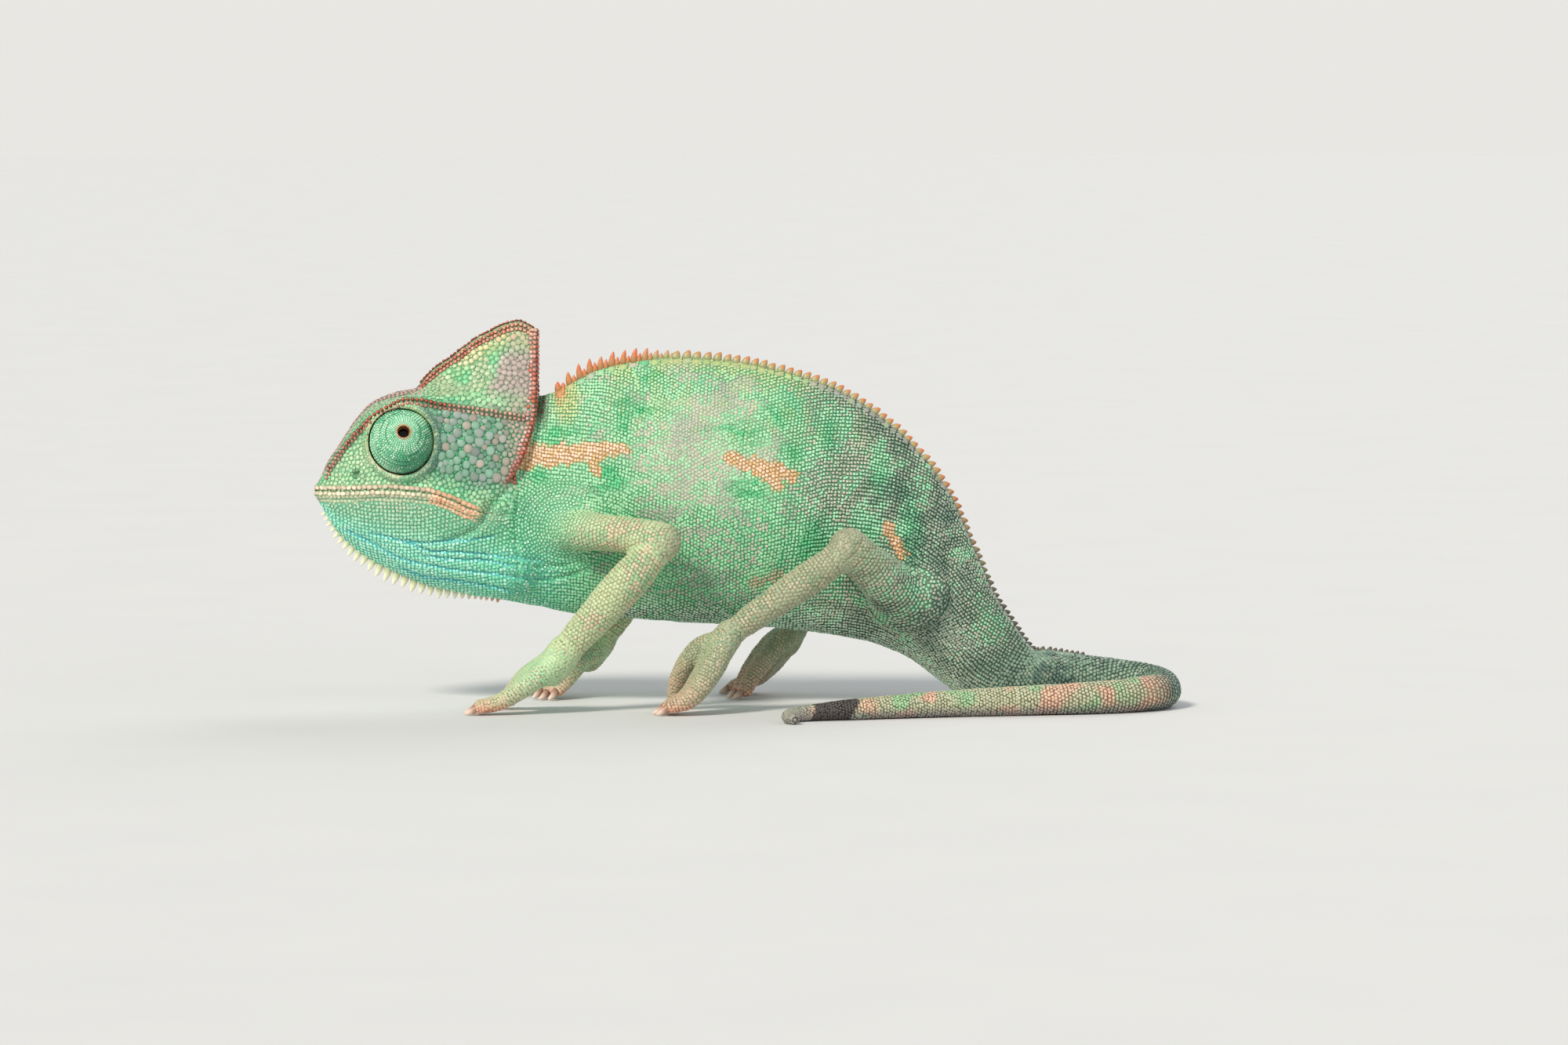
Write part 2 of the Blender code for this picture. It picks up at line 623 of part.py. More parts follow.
FORE_RIGHT = {"upper": [(-18.4, 1.6, 16.6, 2.0), (-15.2, 5.4, 16.2, 1.9), (-11.6, 7.3, 15.6, 1.75),
                        (-8.6, 8.6, 14.6, 2.0)],
              "lower": [(-8.9, 8.8, 13.9, 1.6), (-10.6, 9.1, 11.2, 1.9), (-12.6, 9.2, 8.2, 1.7),
                        (-14.7, 9.2, 5.1, 1.4)],
              "palm": [(-14.5, 9.2, 5.4, 1.75), (-15.6, 8.9, 3.9, 1.7)],
              "outer": [(-14.9, 9.4, 4.7, 1.2), (-17.4, 10.1, 2.9, 1.15), (-20.0, 10.7, 1.2, 1.0),
                        (-22.0, 11.1, 0.75, 0.8)],
              "inner": [(-15.0, 8.6, 4.7, 1.2), (-16.8, 7.2, 3.6, 1.15), (-18.4, 5.7, 1.8, 1.0),
                        (-19.2, 4.8, 0.75, 0.8)]}
HIND_LEFT = {"upper": [(15.6, 0.6, 9.6, 2.5), (14.2, 4.4, 11.0, 2.6), (11.8, 7.3, 13.6, 2.15),
                       (9.6, 8.9, 15.7, 2.0)],
             "lower": [(8.9, 9.0, 15.0, 1.5), (5.6, 9.3, 12.6, 1.65), (1.8, 9.3, 10.0, 1.45),
                       (-1.8, 9.2, 7.4, 1.2)],
             "palm": [(-1.6, 9.2, 7.6, 1.5), (-2.7, 9.0, 5.9, 1.5)],
             "outer": [(-2.2, 9.5, 6.6, 1.15), (-3.6, 9.9, 4.2, 1.3), (-5.4, 10.4, 1.7, 1.15),
                       (-7.5, 10.7, 0.75, 0.85)],
             "inner": [(-2.4, 8.7, 6.7, 1.1), (-4.3, 7.4, 5.9, 1.15), (-6.0, 6.0, 3.4, 1.0),
                       (-6.6, 5.2, 0.8, 0.8)]}
HIND_RIGHT = {"upper": [(15.9, 0.6, 9.2, 2.5), (15.0, 4.4, 10.3, 2.6), (13.8, 7.4, 12.2, 2.15),
                        (12.6, 9.0, 13.8, 2.0)],
              "lower": [(12.0, 9.1, 13.0, 1.5), (9.6, 9.4, 11.0, 1.65), (6.8, 9.4, 8.8, 1.45),
                        (4.4, 9.3, 6.7, 1.2)],
              "palm": [(4.6, 9.3, 6.9, 1.5), (3.7, 9.2, 5.2, 1.5)],
              "outer": [(4.1, 9.6, 6.0, 1.15), (2.8, 10.1, 4.0, 1.3), (0.8, 10.7, 1.7, 1.15),
                        (-1.4, 11.2, 0.75, 0.85)],
              "inner": [(4.0, 8.8, 6.0, 1.1), (2.4, 7.5, 5.0, 1.1), (0.6, 6.2, 2.8, 1.0),
                        (-0.6, 5.4, 0.8, 0.8)]}
LIMBS = {"fore": {LEFT: FORE_LEFT, RIGHT: FORE_RIGHT}, "hind": {LEFT: HIND_LEFT, RIGHT: HIND_RIGHT}}
TOES = {"fore": {"outer": 2, "inner": 3}, "hind": {"outer": 3, "inner": 2}}
TOE_SPACING = 1.15
CLAW_LENGTH = 0.8


def sided(points, side):
    return [(x, y * side, z, radius) for x, y, z, radius in points]


def toe_bundle(name, path, count):
    """Toes grown together like a mitten, their tips and claws apart."""
    rows = np.array(path, float)
    along = unit(np.gradient(rows[:, :3], axis=0))
    beside = unit(np.cross(along, (0, 0, 1.0)))
    spread = np.array([0.35, 0.75, 1.0, 1.15])[:, None] * TOE_SPACING
    pieces = []
    for number in range(count):
        shift = number - (count - 1) / 2
        toe = rows.copy()
        toe[:, :3] += beside * spread * shift * rows[:, 3:] / rows[-2, 3]
        toe[:, 3] *= (1.12, 1.0, 0.95, 0.9) if count == 2 else (1.0, 0.88, 0.82, 0.78)
        toe[-1, :3] -= along[-1] * 0.25 * abs(shift)
        pieces.append(tube(f"{name}_{number}", toe, sides=6, samples=1))
        tip = toe[-1, :3]
        ahead = unit(np.array([along[-1][0], along[-1][1], 0.0]))
        reach = tip + ahead * (toe[-1, 3] + CLAW_LENGTH)
        reach[2] = 0.12
        pieces.append(spike(f"{name}_claw_{number}", tip + ahead * 0.2, reach, 0.75, sides=4))
    return pieces


def make_limb(kind, side, body_grown):
    """Upper and lower length of one leg and its grasping foot."""
    word = "left" if side == LEFT else "right"
    names = ("upper_arm", "forearm", "forefoot") if kind == "fore" else ("thigh", "shin", "hindfoot")
    joints = LIMBS[kind][side]
    upper = tube(f"{names[0]}_{word}", sided(joints["upper"], side))
    lower = tube(f"{names[1]}_{word}", sided(joints["lower"], side))
    toes = []
    for bundle in ("outer", "inner"):
        toes += toe_bundle(f"{bundle}_{word}", sided(joints[bundle], side), TOES[kind][bundle])
    palm = tube(f"{names[2]}_{word}", sided(joints["palm"], side), samples=1)
    palm_grown = inflated(palm, GAP)
    foot = union(palm, toes)
    upper_grown = inflated(upper, GAP)
    upper = cut(upper, [body_grown], keep_cutters=True)
    lower = cut(lower, [upper_grown, palm_grown])
    return [upper, lower, foot]


# Finish

def paint(item, colour, roughness):
    material = bpy.data.materials.new(item.name + "_skin")
    material.use_nodes = True
    shader = material.node_tree.nodes["Principled BSDF"]
    shader.inputs["Base Color"].default_value = (*colour, 1.0)
    shader.inputs["Roughness"].default_value = roughness
    item.data.materials.clear()
    item.data.materials.append(material)


def colour_of(name):
    for words, colour in ((("lower_jaw",), THROAT_GREEN), (("casque", "head"), CASQUE_GREEN),
                          (("eyelid",), TURRET_GREEN), (("eye_",), EYE_DARK),
                          (("neck", "torso"), BODY_GREEN), (("tail",), TAIL_GREEN)):
        if name.startswith(words):
            return colour
    return LIMB_GREEN


def finish(item, home):
    """Moves a node from the midline's frame to its place, in metres."""
    item.data.transform(Matrix.Scale(MM, 4) @ Matrix.Translation((0, MIDLINE_Y, 0)))
    item.data.shade_smooth()
    paint(item, colour_of(item.name), 0.3 if item.name.startswith("eye_") else 0.6)
    for owner in list(item.users_collection):
        owner.objects.unlink(item)
    home.objects.link(item)


def main():
    for item in list(bpy.data.objects):
        bpy.data.objects.remove(item)
    home = bpy.data.collections.new("veiled_chameleon")
    bpy.context.scene.collection.children.link(home)
    head_parts, head_grown = make_head()
    nodes = head_parts
    for word, side in (("left", LEFT), ("right", RIGHT)):
        nodes += [make_lids(f"eyelid_{word}", side), make_ball(f"eye_{word}", side)]
    nodes += make_body(head_grown)
    bpy.data.objects.remove(head_grown)
    whole = loft("body_grown", body_rings(np.linspace(0, 16, 40), BODY_SIDES, grow=GAP))
    for kind in ("fore", "hind"):
        for side in (LEFT, RIGHT):
            nodes += make_limb(kind, side, whole)
    bpy.data.objects.remove(whole)
    for node in nodes:
        finish(node, home)


main()
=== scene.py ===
import math

import bmesh
import bpy
import numpy as np
from mathutils import Matrix, Vector
from mathutils.bvhtree import BVHTree
from mathutils.kdtree import KDTree


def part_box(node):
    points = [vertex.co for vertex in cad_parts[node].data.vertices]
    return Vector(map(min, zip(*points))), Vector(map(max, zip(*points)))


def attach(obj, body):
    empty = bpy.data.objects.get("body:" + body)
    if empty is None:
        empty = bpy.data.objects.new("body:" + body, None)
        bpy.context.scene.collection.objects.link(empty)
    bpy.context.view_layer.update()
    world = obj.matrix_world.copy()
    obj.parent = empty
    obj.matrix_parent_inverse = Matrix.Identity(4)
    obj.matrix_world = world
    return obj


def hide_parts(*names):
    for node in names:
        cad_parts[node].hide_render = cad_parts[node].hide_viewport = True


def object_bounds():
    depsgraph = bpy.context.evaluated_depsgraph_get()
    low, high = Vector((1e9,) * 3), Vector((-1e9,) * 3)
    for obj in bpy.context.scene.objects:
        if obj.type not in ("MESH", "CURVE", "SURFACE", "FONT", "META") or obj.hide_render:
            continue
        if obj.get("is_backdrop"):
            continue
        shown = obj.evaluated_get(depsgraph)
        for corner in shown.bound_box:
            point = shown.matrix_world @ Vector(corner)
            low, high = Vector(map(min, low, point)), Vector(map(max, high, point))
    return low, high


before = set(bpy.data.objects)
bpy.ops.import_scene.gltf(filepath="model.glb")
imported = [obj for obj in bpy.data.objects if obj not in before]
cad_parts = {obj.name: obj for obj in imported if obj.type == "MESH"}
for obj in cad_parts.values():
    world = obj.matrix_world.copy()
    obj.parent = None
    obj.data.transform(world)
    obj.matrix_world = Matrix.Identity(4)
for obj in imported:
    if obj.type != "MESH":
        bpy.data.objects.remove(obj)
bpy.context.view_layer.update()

# Looks of a young veiled chameleon, life size, as a still display model.
# Sizes are millimetres in the animal's own frame: it faces -X, its left side faces -Y, its plane
# of symmetry is y = 0 and the floor is z = 0. Each finished mesh is then set in the row's metres.
torso_low, torso_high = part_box("torso")
HOME = Matrix.Translation((0, (torso_low.y + torso_high.y) / 2, 0)) @ Matrix.Scale(0.001, 4)
LEFT, RIGHT = -1, 1


# Trunk, neck and tail
# One muscular tube over arched ribs, pressed flat from side to side and slung between the legs.
# Sections stand across it from the nape to the tip of the tail, which lies curled on the floor.
# Ribs: belly x and z, back x and z, half width, and pinch towards the ridge of the back.

RIBS = [(-25.6, 11.2, -24.9, 26.9, 3.4, 0.20), (-23.2, 9.9, -21.6, 29.2, 3.8, 0.35),
        (-20.4, 9.3, -18.7, 30.0, 4.2, 0.45), (-15.5, 8.6, -14.3, 32.2, 5.0, 0.50),
        (-10.7, 8.2, -9.2, 33.2, 5.6, 0.55), (-5.4, 7.8, -4.0, 33.3, 6.0, 0.55),
        (0.5, 7.5, 2.4, 32.3, 6.0, 0.55), (6.5, 6.9, 9.0, 30.1, 5.7, 0.55),
        (11.7, 6.0, 14.6, 26.2, 5.2, 0.50), (15.4, 4.5, 19.0, 21.0, 4.5, 0.42),
        (18.0, 2.6, 21.7, 15.2, 3.7, 0.35), (20.2, 0.9, 24.0, 10.2, 3.1, 0.25)]
# The tail on the floor: x, y, height, half width, and slope of the section.
TAIL = [(24.9, 0.3, 7.4, 2.75, 0.80), (28.0, 0.9, 5.8, 2.4, 0.34), (31.6, 1.7, 5.0, 2.2, 0.10),
        (35.2, 1.9, 4.5, 2.0, 0), (38.5, 0.3, 4.1, 1.9, 0), (39.7, -3.0, 3.8, 1.8, 0),
        (38.0, -6.3, 3.5, 1.7, 0), (34.6, -8.5, 3.3, 1.6, 0), (30.2, -9.9, 3.1, 1.5, 0),
        (25.2, -10.9, 2.9, 1.45, 0), (19.9, -12.0, 2.7, 1.35, 0), (14.6, -13.6, 2.4, 1.2, 0),
        (9.8, -15.2, 2.1, 1.05, 0), (6.0, -16.4, 1.7, 0.85, 0), (3.9, -18.2, 1.4, 0.7, 0),
        (4.6, -20.2, 1.0, 0.5, 0)]
FLOOR_SINK = 0.92                      # a ring's centre height over its half height, on the floor
TORSO_END = 11.3                       # rib number where the tail begins
BODY_END = len(RIBS) + len(TAIL) - 1.0
TRUNK_SIDES = 88


def through(points, at):
    """Smooth values at the given places, through rows of (place, value, ...), with no overshoot."""
    rows = np.array(points, float)
    places, values = rows[:, 0], rows[:, 1:]
    span = np.diff(places)[:, None]
    slope = np.diff(values, axis=0) / span
    before, after = slope[:-1], slope[1:]
    turns = before * after <= 0
    total = np.where(turns, 1.0, before + after)
    lean = np.vstack([slope[:1], np.where(turns, 0.0, 2 * before * after / total), slope[-1:]])
    at = np.clip(np.asarray(at, float), places[0], places[-1])
    i = np.clip(np.searchsorted(places, at, side="right") - 1, 0, len(places) - 2)
    f = ((at - places[i]) / span[i, 0])[:, None]
    return ((1 + 2 * f) * (1 - f) ** 2 * values[i] + f * (1 - f) ** 2 * span[i] * lean[i]
            + f ** 2 * (3 - 2 * f) * values[i + 1] - f ** 2 * (1 - f) * span[i] * lean[i + 1])


def spline(points, at, closed=False):
    """Catmull-Rom curve through rows of values, read at fractional row numbers."""
    rows = np.array(points, float)
    count = len(rows)
    at = np.asarray(at, float)
    i = np.floor(at).astype(int)
    if not closed:
        i = np.clip(i, 0, count - 2)
    f = (at - i)[:, None]
    around = [(i + k) % count if closed else np.clip(i + k, 0, count - 1) for k in (-1, 0, 1, 2)]
    a, b, c, d = (rows[k] for k in around)
    return 0.5 * (2 * b + (c - a) * f + (2 * a - 5 * b + 4 * c - d) * f ** 2
                  + (3 * b - a - 3 * c + d) * f ** 3)


def unit(vectors):
    return vectors / np.maximum(np.linalg.norm(vectors, axis=-1, keepdims=True), 1e-9)


def body_controls():
    """Control rings as rows: centre, up direction, half height, half width, pinch."""
    rows = []
    for belly_x, belly_z, back_x, back_z, half_width, pinch in RIBS:
        belly, back = np.array([belly_x, 0, belly_z]), np.array([back_x, 0, back_z])
        half = np.linalg.norm(back - belly) / 2
        rows.append([*((belly + back) / 2), *((back - belly) / (2 * half)), half, half_width, pinch])
    for x, y, height, half_width, lean in TAIL:
        up = unit(np.array([lean, 0.0, 1.0]))
        rows.append([x, y, height / 2 * FLOOR_SINK * up[2], *up, height / 2, half_width, 0.1])
    return np.array(rows)


def body_rings(at, sides):
    """Rings of points at fractional rib numbers, each starting at the ridge of the back."""
    controls = body_controls()
    rows = spline(controls, at)
    step = 0.02
    ahead, behind = (spline(controls, np.clip(at + s, 0, len(controls) - 1))[:, :3]
                     for s in (step, -step))
    up = unit(rows[:, 3:6])
    side = unit(np.cross(up, unit(ahead - behind)))
    turn = np.linspace(0, 2 * math.pi, sides, endpoint=False) + math.pi
    high = (1 - np.cos(turn)) / 2
    rings = []
    for row, upward, outward in zip(rows, up, side):
        half_height, half_width, pinch = row[6:9]
        narrowed = (1 - pinch * high ** 3) * (1 - 0.35 * pinch * (1 - high) ** 4)
        width = np.sin(turn) * half_width * narrowed
        height = -np.cos(turn) * half_height
        rings.append(row[:3] + height[:, None] * upward + width[:, None] * outward)
    rings = np.array(rings)
    rings[..., 2] = np.maximum(rings[..., 2], 0.0)
    return rings


def new_object(name, mesh):
    item = bpy.data.objects.new(name, mesh)
    bpy.context.scene.collection.objects.link(item)
    return item


def face_out(mesh):
    """Turns all faces of a closed mesh outwards."""
    form = bmesh.new()
    form.from_mesh(mesh)
    bmesh.ops.recalc_face_normals(form, faces=form.faces)
    if form.calc_volume(signed=True) < 0:
        bmesh.ops.reverse_faces(form, faces=form.faces)
    form.to_mesh(mesh)
    form.free()


def loft(name, rings, mirrored_caps=False):
    """Closed surface through a stack of rings with as many points each.

    Mirrored caps join each point of an end ring to its mirror image; others close as one face.
    """
    rings = np.asarray(rings, float)
    count, sides = rings.shape[:2]
    index = np.arange(count * sides).reshape(count, sides)
    after = np.roll(index, -1, axis=1)
    faces = np.stack([index[:-1], after[:-1], after[1:], index[1:]], axis=-1).reshape(-1, 4).tolist()
    for row in (index[0].tolist(), index[-1].tolist()):
        if not mirrored_caps:
            faces.append(row)
            continue
        for j in range(sides // 2):
            faces.append(list(dict.fromkeys([row[j], row[j + 1], row[-j - 1], row[-j % sides]])))
    mesh = bpy.data.meshes.new(name)
    mesh.from_pydata(rings.reshape(-1, 3).tolist(), [], faces)
    face_out(mesh)
    return new_object(name, mesh)


# Chart: where each place on the body lies on an unwrap of its own lofts, and what is there.
HEAD, BODY, FORE, HIND = range(4)
chart = {"point": [], "uv": [], "du": [], "dv": [], "part": [], "along": [], "around": []}


def add_to_chart(grid, part, cell, along, around):
    """Notes the places of a loft's grid, its cell (u, v, width, height) of the unwrap, and its own
    coordinates along and around."""
    rows, sides = grid.shape[:2]
    u = cell[0] + cell[2] * (0.02 + 0.96 * np.linspace(0, 1, rows))
    v = cell[1] + cell[3] * (0.02 + 0.96 * np.arange(sides) / sides)
    chart["point"].append(grid.reshape(-1, 3))
    chart["uv"].append(np.stack(np.meshgrid(u, v, indexing="ij"), -1).reshape(-1, 2))
    across = (np.roll(grid, -1, axis=1) - np.roll(grid, 1, axis=1)) / 2
    for key, way, step in (("du", np.gradient(grid, axis=0), u[1] - u[0]), ("dv", across, v[1] - v[0])):
        per_length = step / np.maximum((way ** 2).sum(-1, keepdims=True), 1e-4)
        chart[key].append((way * per_length).reshape(-1, 3))
    chart["part"].append(np.full(rows * sides, part))
    chart["along"].append(np.repeat(along, sides))
    chart["around"].append(np.tile(around, rows))


trunk_at = np.linspace(0, BODY_END, 420)
trunk_grid = body_rings(trunk_at, TRUNK_SIDES)
flesh = [loft("trunk", trunk_grid)]
add_to_chart(trunk_grid, BODY, (0, 0, 1, 1), trunk_at, np.arange(TRUNK_SIDES) / TRUNK_SIDES)


# Head
# A wedge of bone under thin skin: keeled throat and jaw, a ridged brow over each turreted eye, and
# the tall casque, a fin of bone on the skull. Its lines run from the snout to the back of the head,
# as (x, z, half width).

CROWN = [(-41.3, 21.2, 0), (-39.8, 24.0, 0), (-35.7, 29.2, 0), (-33.5, 30.1, 0), (-31.6, 30.4, 0),
         (-30.4, 31.8, 0), (-28.1, 33.5, 0), (-24.9, 35.7, 0), (-21.8, 36.8, 0), (-20.0, 35.9, 0)]
RIDGE = [(-41.3, 21.1, 0.4), (-39.8, 23.8, 0.8), (-35.7, 29.0, 1.1), (-31.6, 30.1, 1.1),
         (-28.1, 33.0, 0.6), (-24.9, 35.2, 0.5), (-21.8, 36.2, 0.5), (-20.0, 35.3, 0.45)]
WALL = [(-41.3, 21.0, 0.7), (-39.8, 23.5, 1.5), (-35.7, 28.6, 2.4), (-31.6, 29.9, 2.6),
        (-28.0, 31.0, 1.8), (-22.5, 32.6, 1.4), (-20.1, 31.6, 1.1)]
BROW = [(-41.3, 20.9, 0.9), (-39.8, 23.0, 2.1), (-37.8, 25.6, 2.9), (-35.0, 28.3, 3.7),
        (-32.0, 29.5, 4.0), (-29.1, 29.0, 3.9), (-26.0, 28.6, 3.7), (-20.2, 27.6, 2.4)]
TEMPLE = [(-41.4, 20.9, 0.95), (-39.8, 22.2, 2.3), (-36.5, 24.2, 3.4), (-32.5, 25.6, 4.2),
          (-27.0, 25.0, 4.9), (-21.2, 24.4, 3.7)]
UPPER_LIP = [(-41.5, 20.85, 0.9), (-39.5, 21.3, 2.4), (-36.5, 21.7, 3.5), (-31.0, 21.7, 4.5),
             (-26.5, 20.9, 5.0), (-22.2, 20.4, 4.3)]
LOWER_LIP = [(-41.5, 20.3, 0.85), (-39.2, 20.1, 2.4), (-36.0, 20.0, 3.5), (-31.0, 19.8, 4.3),
             (-26.5, 18.6, 4.7), (-22.6, 18.2, 4.3)]
JAW = [(-41.3, 19.9, 0.6), (-39.4, 18.6, 2.0), (-36.0, 17.6, 3.1), (-30.5, 16.4, 4.0),
       (-26.0, 15.8, 4.3), (-22.9, 15.6, 4.2)]
THROAT = [(-41.2, 19.7, 0.4), (-39.6, 17.4, 1.1), (-36.0, 15.3, 1.8), (-30.5, 13.3, 2.6),
          (-23.0, 12.3, 3.5)]
KEEL_SIDE = [(-41.1, 19.5, 0.2), (-39.4, 16.9, 0.5), (-36.0, 14.2, 0.7), (-30.5, 11.9, 1.1),
             (-23.0, 10.4, 2.0)]
KEEL = [(-41.0, 19.4, 0), (-40.1, 17.7, 0), (-38.9, 16.0, 0), (-37.3, 14.6, 0), (-34.2, 12.8, 0),
        (-29.5, 11.1, 0), (-23.0, 9.9, 0)]
HEAD_LINES = [KEEL, KEEL_SIDE, THROAT, JAW, LOWER_LIP, UPPER_LIP, TEMPLE, BROW, WALL, RIDGE, CROWN]
MOUTH = [(-43.0, 20.6), (-38.9, 20.7), (-34.2, 20.9), (-31.0, 20.7), (-29.5, 20.45),
         (-27.5, 19.7), (-25.7, 18.9), (-23.5, 18.5), (-18.0, 18.2)]
BACK_EDGE = [(-20.3, 36.0), (-20.4, 30.1), (-20.5, 27.3), (-21.3, 24.9), (-22.5, 21.3)]
EYE = Vector((-32.8, 3.55, 25.5))      # turret centre, y as the distance from the midline
TURRET_RADIUS = 3.15
ORBIT_RIM = 0.42                       # radius of the rounded ring of skin round the turret
ORBIT_FACING = Vector((-0.16, 1.0, 0.06))
NOSTRIL = Vector((-37.2, 3.35, 22.3))
EDGE = 0.42                            # radius of the raised edge of casque and brow
LIP = 0.36                             # radius of the rounded lip
HEAD_STEPS = 8                         # sides of the head's rings from one line to the next


def head_rings(share, sides_per_line):
    """Rings of points round the head at shares 0 to 1 of its length, each starting at the keel."""
    lines = []
    for line in HEAD_LINES:
        first, last = line[0][0], line[-1][0]
        place = first + (last - first) * share
        lines.append(np.column_stack([place, through(line, place)]))
    left = np.array(lines).transpose(1, 0, 2)
    at = np.arange(0, 2 * (len(HEAD_LINES) - 1), 1 / sides_per_line)
    rings = []
    for row in left:
        ring = spline(np.vstack([row, row[-2:0:-1] * (1, 1, -1)]), at, closed=True)
        rings.append(ring[:, [0, 2, 1]])
    return np.array(rings)


def tube_rings(path, sides, samples=6, round_ends=True):
    """Rings along rows of (x, y, z, radius), each starting at its top, with rounded ends."""
    rows = spline(path, np.linspace(0, len(path) - 1, samples * (len(path) - 1) + 1))
    centre, radius = rows[:, :3], rows[:, 3]
    along = unit(np.gradient(centre, axis=0))
    side = unit(np.cross(along, (0.0, 0.0, 1.0)))
    up = np.cross(side, along)
    stations = [(centre[k], radius[k], k) for k in range(len(rows))]
    if round_ends:
        rounds = np.radians([78, 60, 40, 20])
        first = [(centre[0] - along[0] * radius[0] * math.sin(a), radius[0] * math.cos(a), 0)
                 for a in rounds]
        last = [(centre[-1] + along[-1] * radius[-1] * math.sin(a), radius[-1] * math.cos(a), -1)
                for a in rounds[::-1]]
        stations = first + stations + last
    turn = np.linspace(0, 2 * math.pi, sides, endpoint=False)[:, None] + math.pi / 2
    rings = np.array([place + size * (np.cos(turn) * side[k] + np.sin(turn) * up[k])
                      for place, size, k in stations])
    rings[..., 2] = np.maximum(rings[..., 2], 0.0)
    return rings


def mirrored(point, side):
    return Vector((point.x, point.y * side, point.z))


def side_width(x, z):
    """Half width of the head's own form at a place (x, z) of its side."""
    widths = [through(line, x)[:, 1] for line in HEAD_LINES]
    heights = [through(line, x)[:, 0] for line in HEAD_LINES]
    return np.array([np.interp(at, [h[i] for h in heights], [w[i] for w in widths])
                     for i, at in enumerate(z)])


def edge_line(places, heights, side, stand=0.0):
    """Rows of (x, y, z) on the side of the head."""
    places, heights = np.asarray(places, float), np.asarray(heights, float)
    return np.column_stack([places, side * (side_width(places, heights) + stand), heights])


def raised_edge(name, line, radius):
    rows = [(*point, radius) for point in line]
    return loft(name, tube_rings(rows, sides=12, samples=3))


head_share = np.linspace(0, 1, 110) ** 1.25
head_grid = head_rings(head_share, HEAD_STEPS)
flesh.append(loft("head", head_grid, mirrored_caps=True))
line_number = np.arange(head_grid.shape[1]) / HEAD_STEPS
line_number = np.minimum(line_number, 2 * (len(HEAD_LINES) - 1) - line_number)
add_to_chart(head_grid, HEAD, (0, 0, 1, 1), head_share, line_number)

crown_x = np.linspace(-31.2, -20.3, 9)
crown_line = np.column_stack([crown_x, 0 * crown_x, through(CROWN, crown_x)[:, 0] - 0.3])
flesh.append(raised_edge("crown_edge", crown_line, EDGE))
for side in (LEFT, RIGHT):
    x = np.linspace(-39.8, -20.6, 16)
    z, width = through(BROW, x).T
    flesh.append(raised_edge(f"brow_{side}", np.column_stack([x, side * (width - 0.05), z]), EDGE))
    z = np.array([35.7, 33.5, 31.2, 28.5, 26.0, 23.8, 21.8])
    x = np.interp(z, [p[1] for p in BACK_EDGE[::-1]], [p[0] for p in BACK_EDGE[::-1]])
    flesh.append(raised_edge(f"back_edge_{side}", edge_line(x, z, side, -0.1), EDGE))
    x = np.linspace(-41.1, -25.4, 13)
    z = through(MOUTH, x)[:, 0]
    for lift in (0.38, -0.38):
        flesh.append(raised_edge(f"lip_{side}_{lift}", edge_line(x, z + lift, side, -0.12), LIP))
    bpy.ops.mesh.primitive_torus_add(major_segments=64, minor_segments=14,
                                     major_radius=TURRET_RADIUS + 0.3, minor_radius=ORBIT_RIM)
    orbit = bpy.context.object
    facing = mirrored(ORBIT_FACING, side).normalized().to_track_quat("Z", "Y").to_matrix()
    orbit.data.transform(Matrix.Translation(mirrored(EYE, side) + Vector((0, side * 0.75, 0)))
                         @ facing.to_4x4())
    flesh.append(orbit)


# Legs and grasping feet
# Slim round limbs of bone and muscle. The toes are grown together into two opposed mittens, and
# each toe ends in a round pad with a claw. Joints are (x, y from the midline, z, radius).

FORE_LEFT = {
    "upper": [(-18.4, 1.6, 17.0, 2.0), (-15.4, 5.4, 17.0, 1.9), (-12.0, 7.3, 16.9, 1.75),
              (-8.1, 8.7, 16.2, 2.0)],
    "lower": [(-8.6, 8.9, 15.4, 1.6), (-11.2, 9.2, 12.6, 1.95), (-14.4, 9.3, 9.1, 1.75),
              (-17.6, 9.3, 5.4, 1.4)],
    "palm": [(-17.3, 9.3, 5.8, 1.75), (-18.6, 9.0, 4.2, 1.7)],
    "outer": [(-17.8, 9.5, 5.0, 1.2), (-20.4, 10.0, 3.1, 1.15), (-23.2, 10.4, 1.25, 1.0),
              (-25.3, 10.6, 0.75, 0.8)],
    "inner": [(-17.9, 8.7, 5.0, 1.2), (-20.0, 7.3, 4.0, 1.15), (-21.8, 5.8, 2.0, 1.0),
              (-22.8, 4.9, 0.75, 0.8)]}
FORE_RIGHT = {
    "upper": [(-18.4, 1.6, 16.6, 2.0), (-15.2, 5.4, 16.2, 1.9), (-11.6, 7.3, 15.6, 1.75),
              (-8.6, 8.6, 14.6, 2.0)],
    "lower": [(-8.9, 8.8, 13.9, 1.6), (-10.6, 9.1, 11.2, 1.9), (-12.6, 9.2, 8.2, 1.7),
              (-14.7, 9.2, 5.1, 1.4)],
    "palm": [(-14.5, 9.2, 5.4, 1.75), (-15.6, 8.9, 3.9, 1.7)],
    "outer": [(-14.9, 9.4, 4.7, 1.2), (-17.4, 10.1, 2.9, 1.15), (-20.0, 10.7, 1.2, 1.0),
              (-22.0, 11.1, 0.75, 0.8)],
    "inner": [(-15.0, 8.6, 4.7, 1.2), (-16.8, 7.2, 3.6, 1.15), (-18.4, 5.7, 1.8, 1.0),
              (-19.2, 4.8, 0.75, 0.8)]}
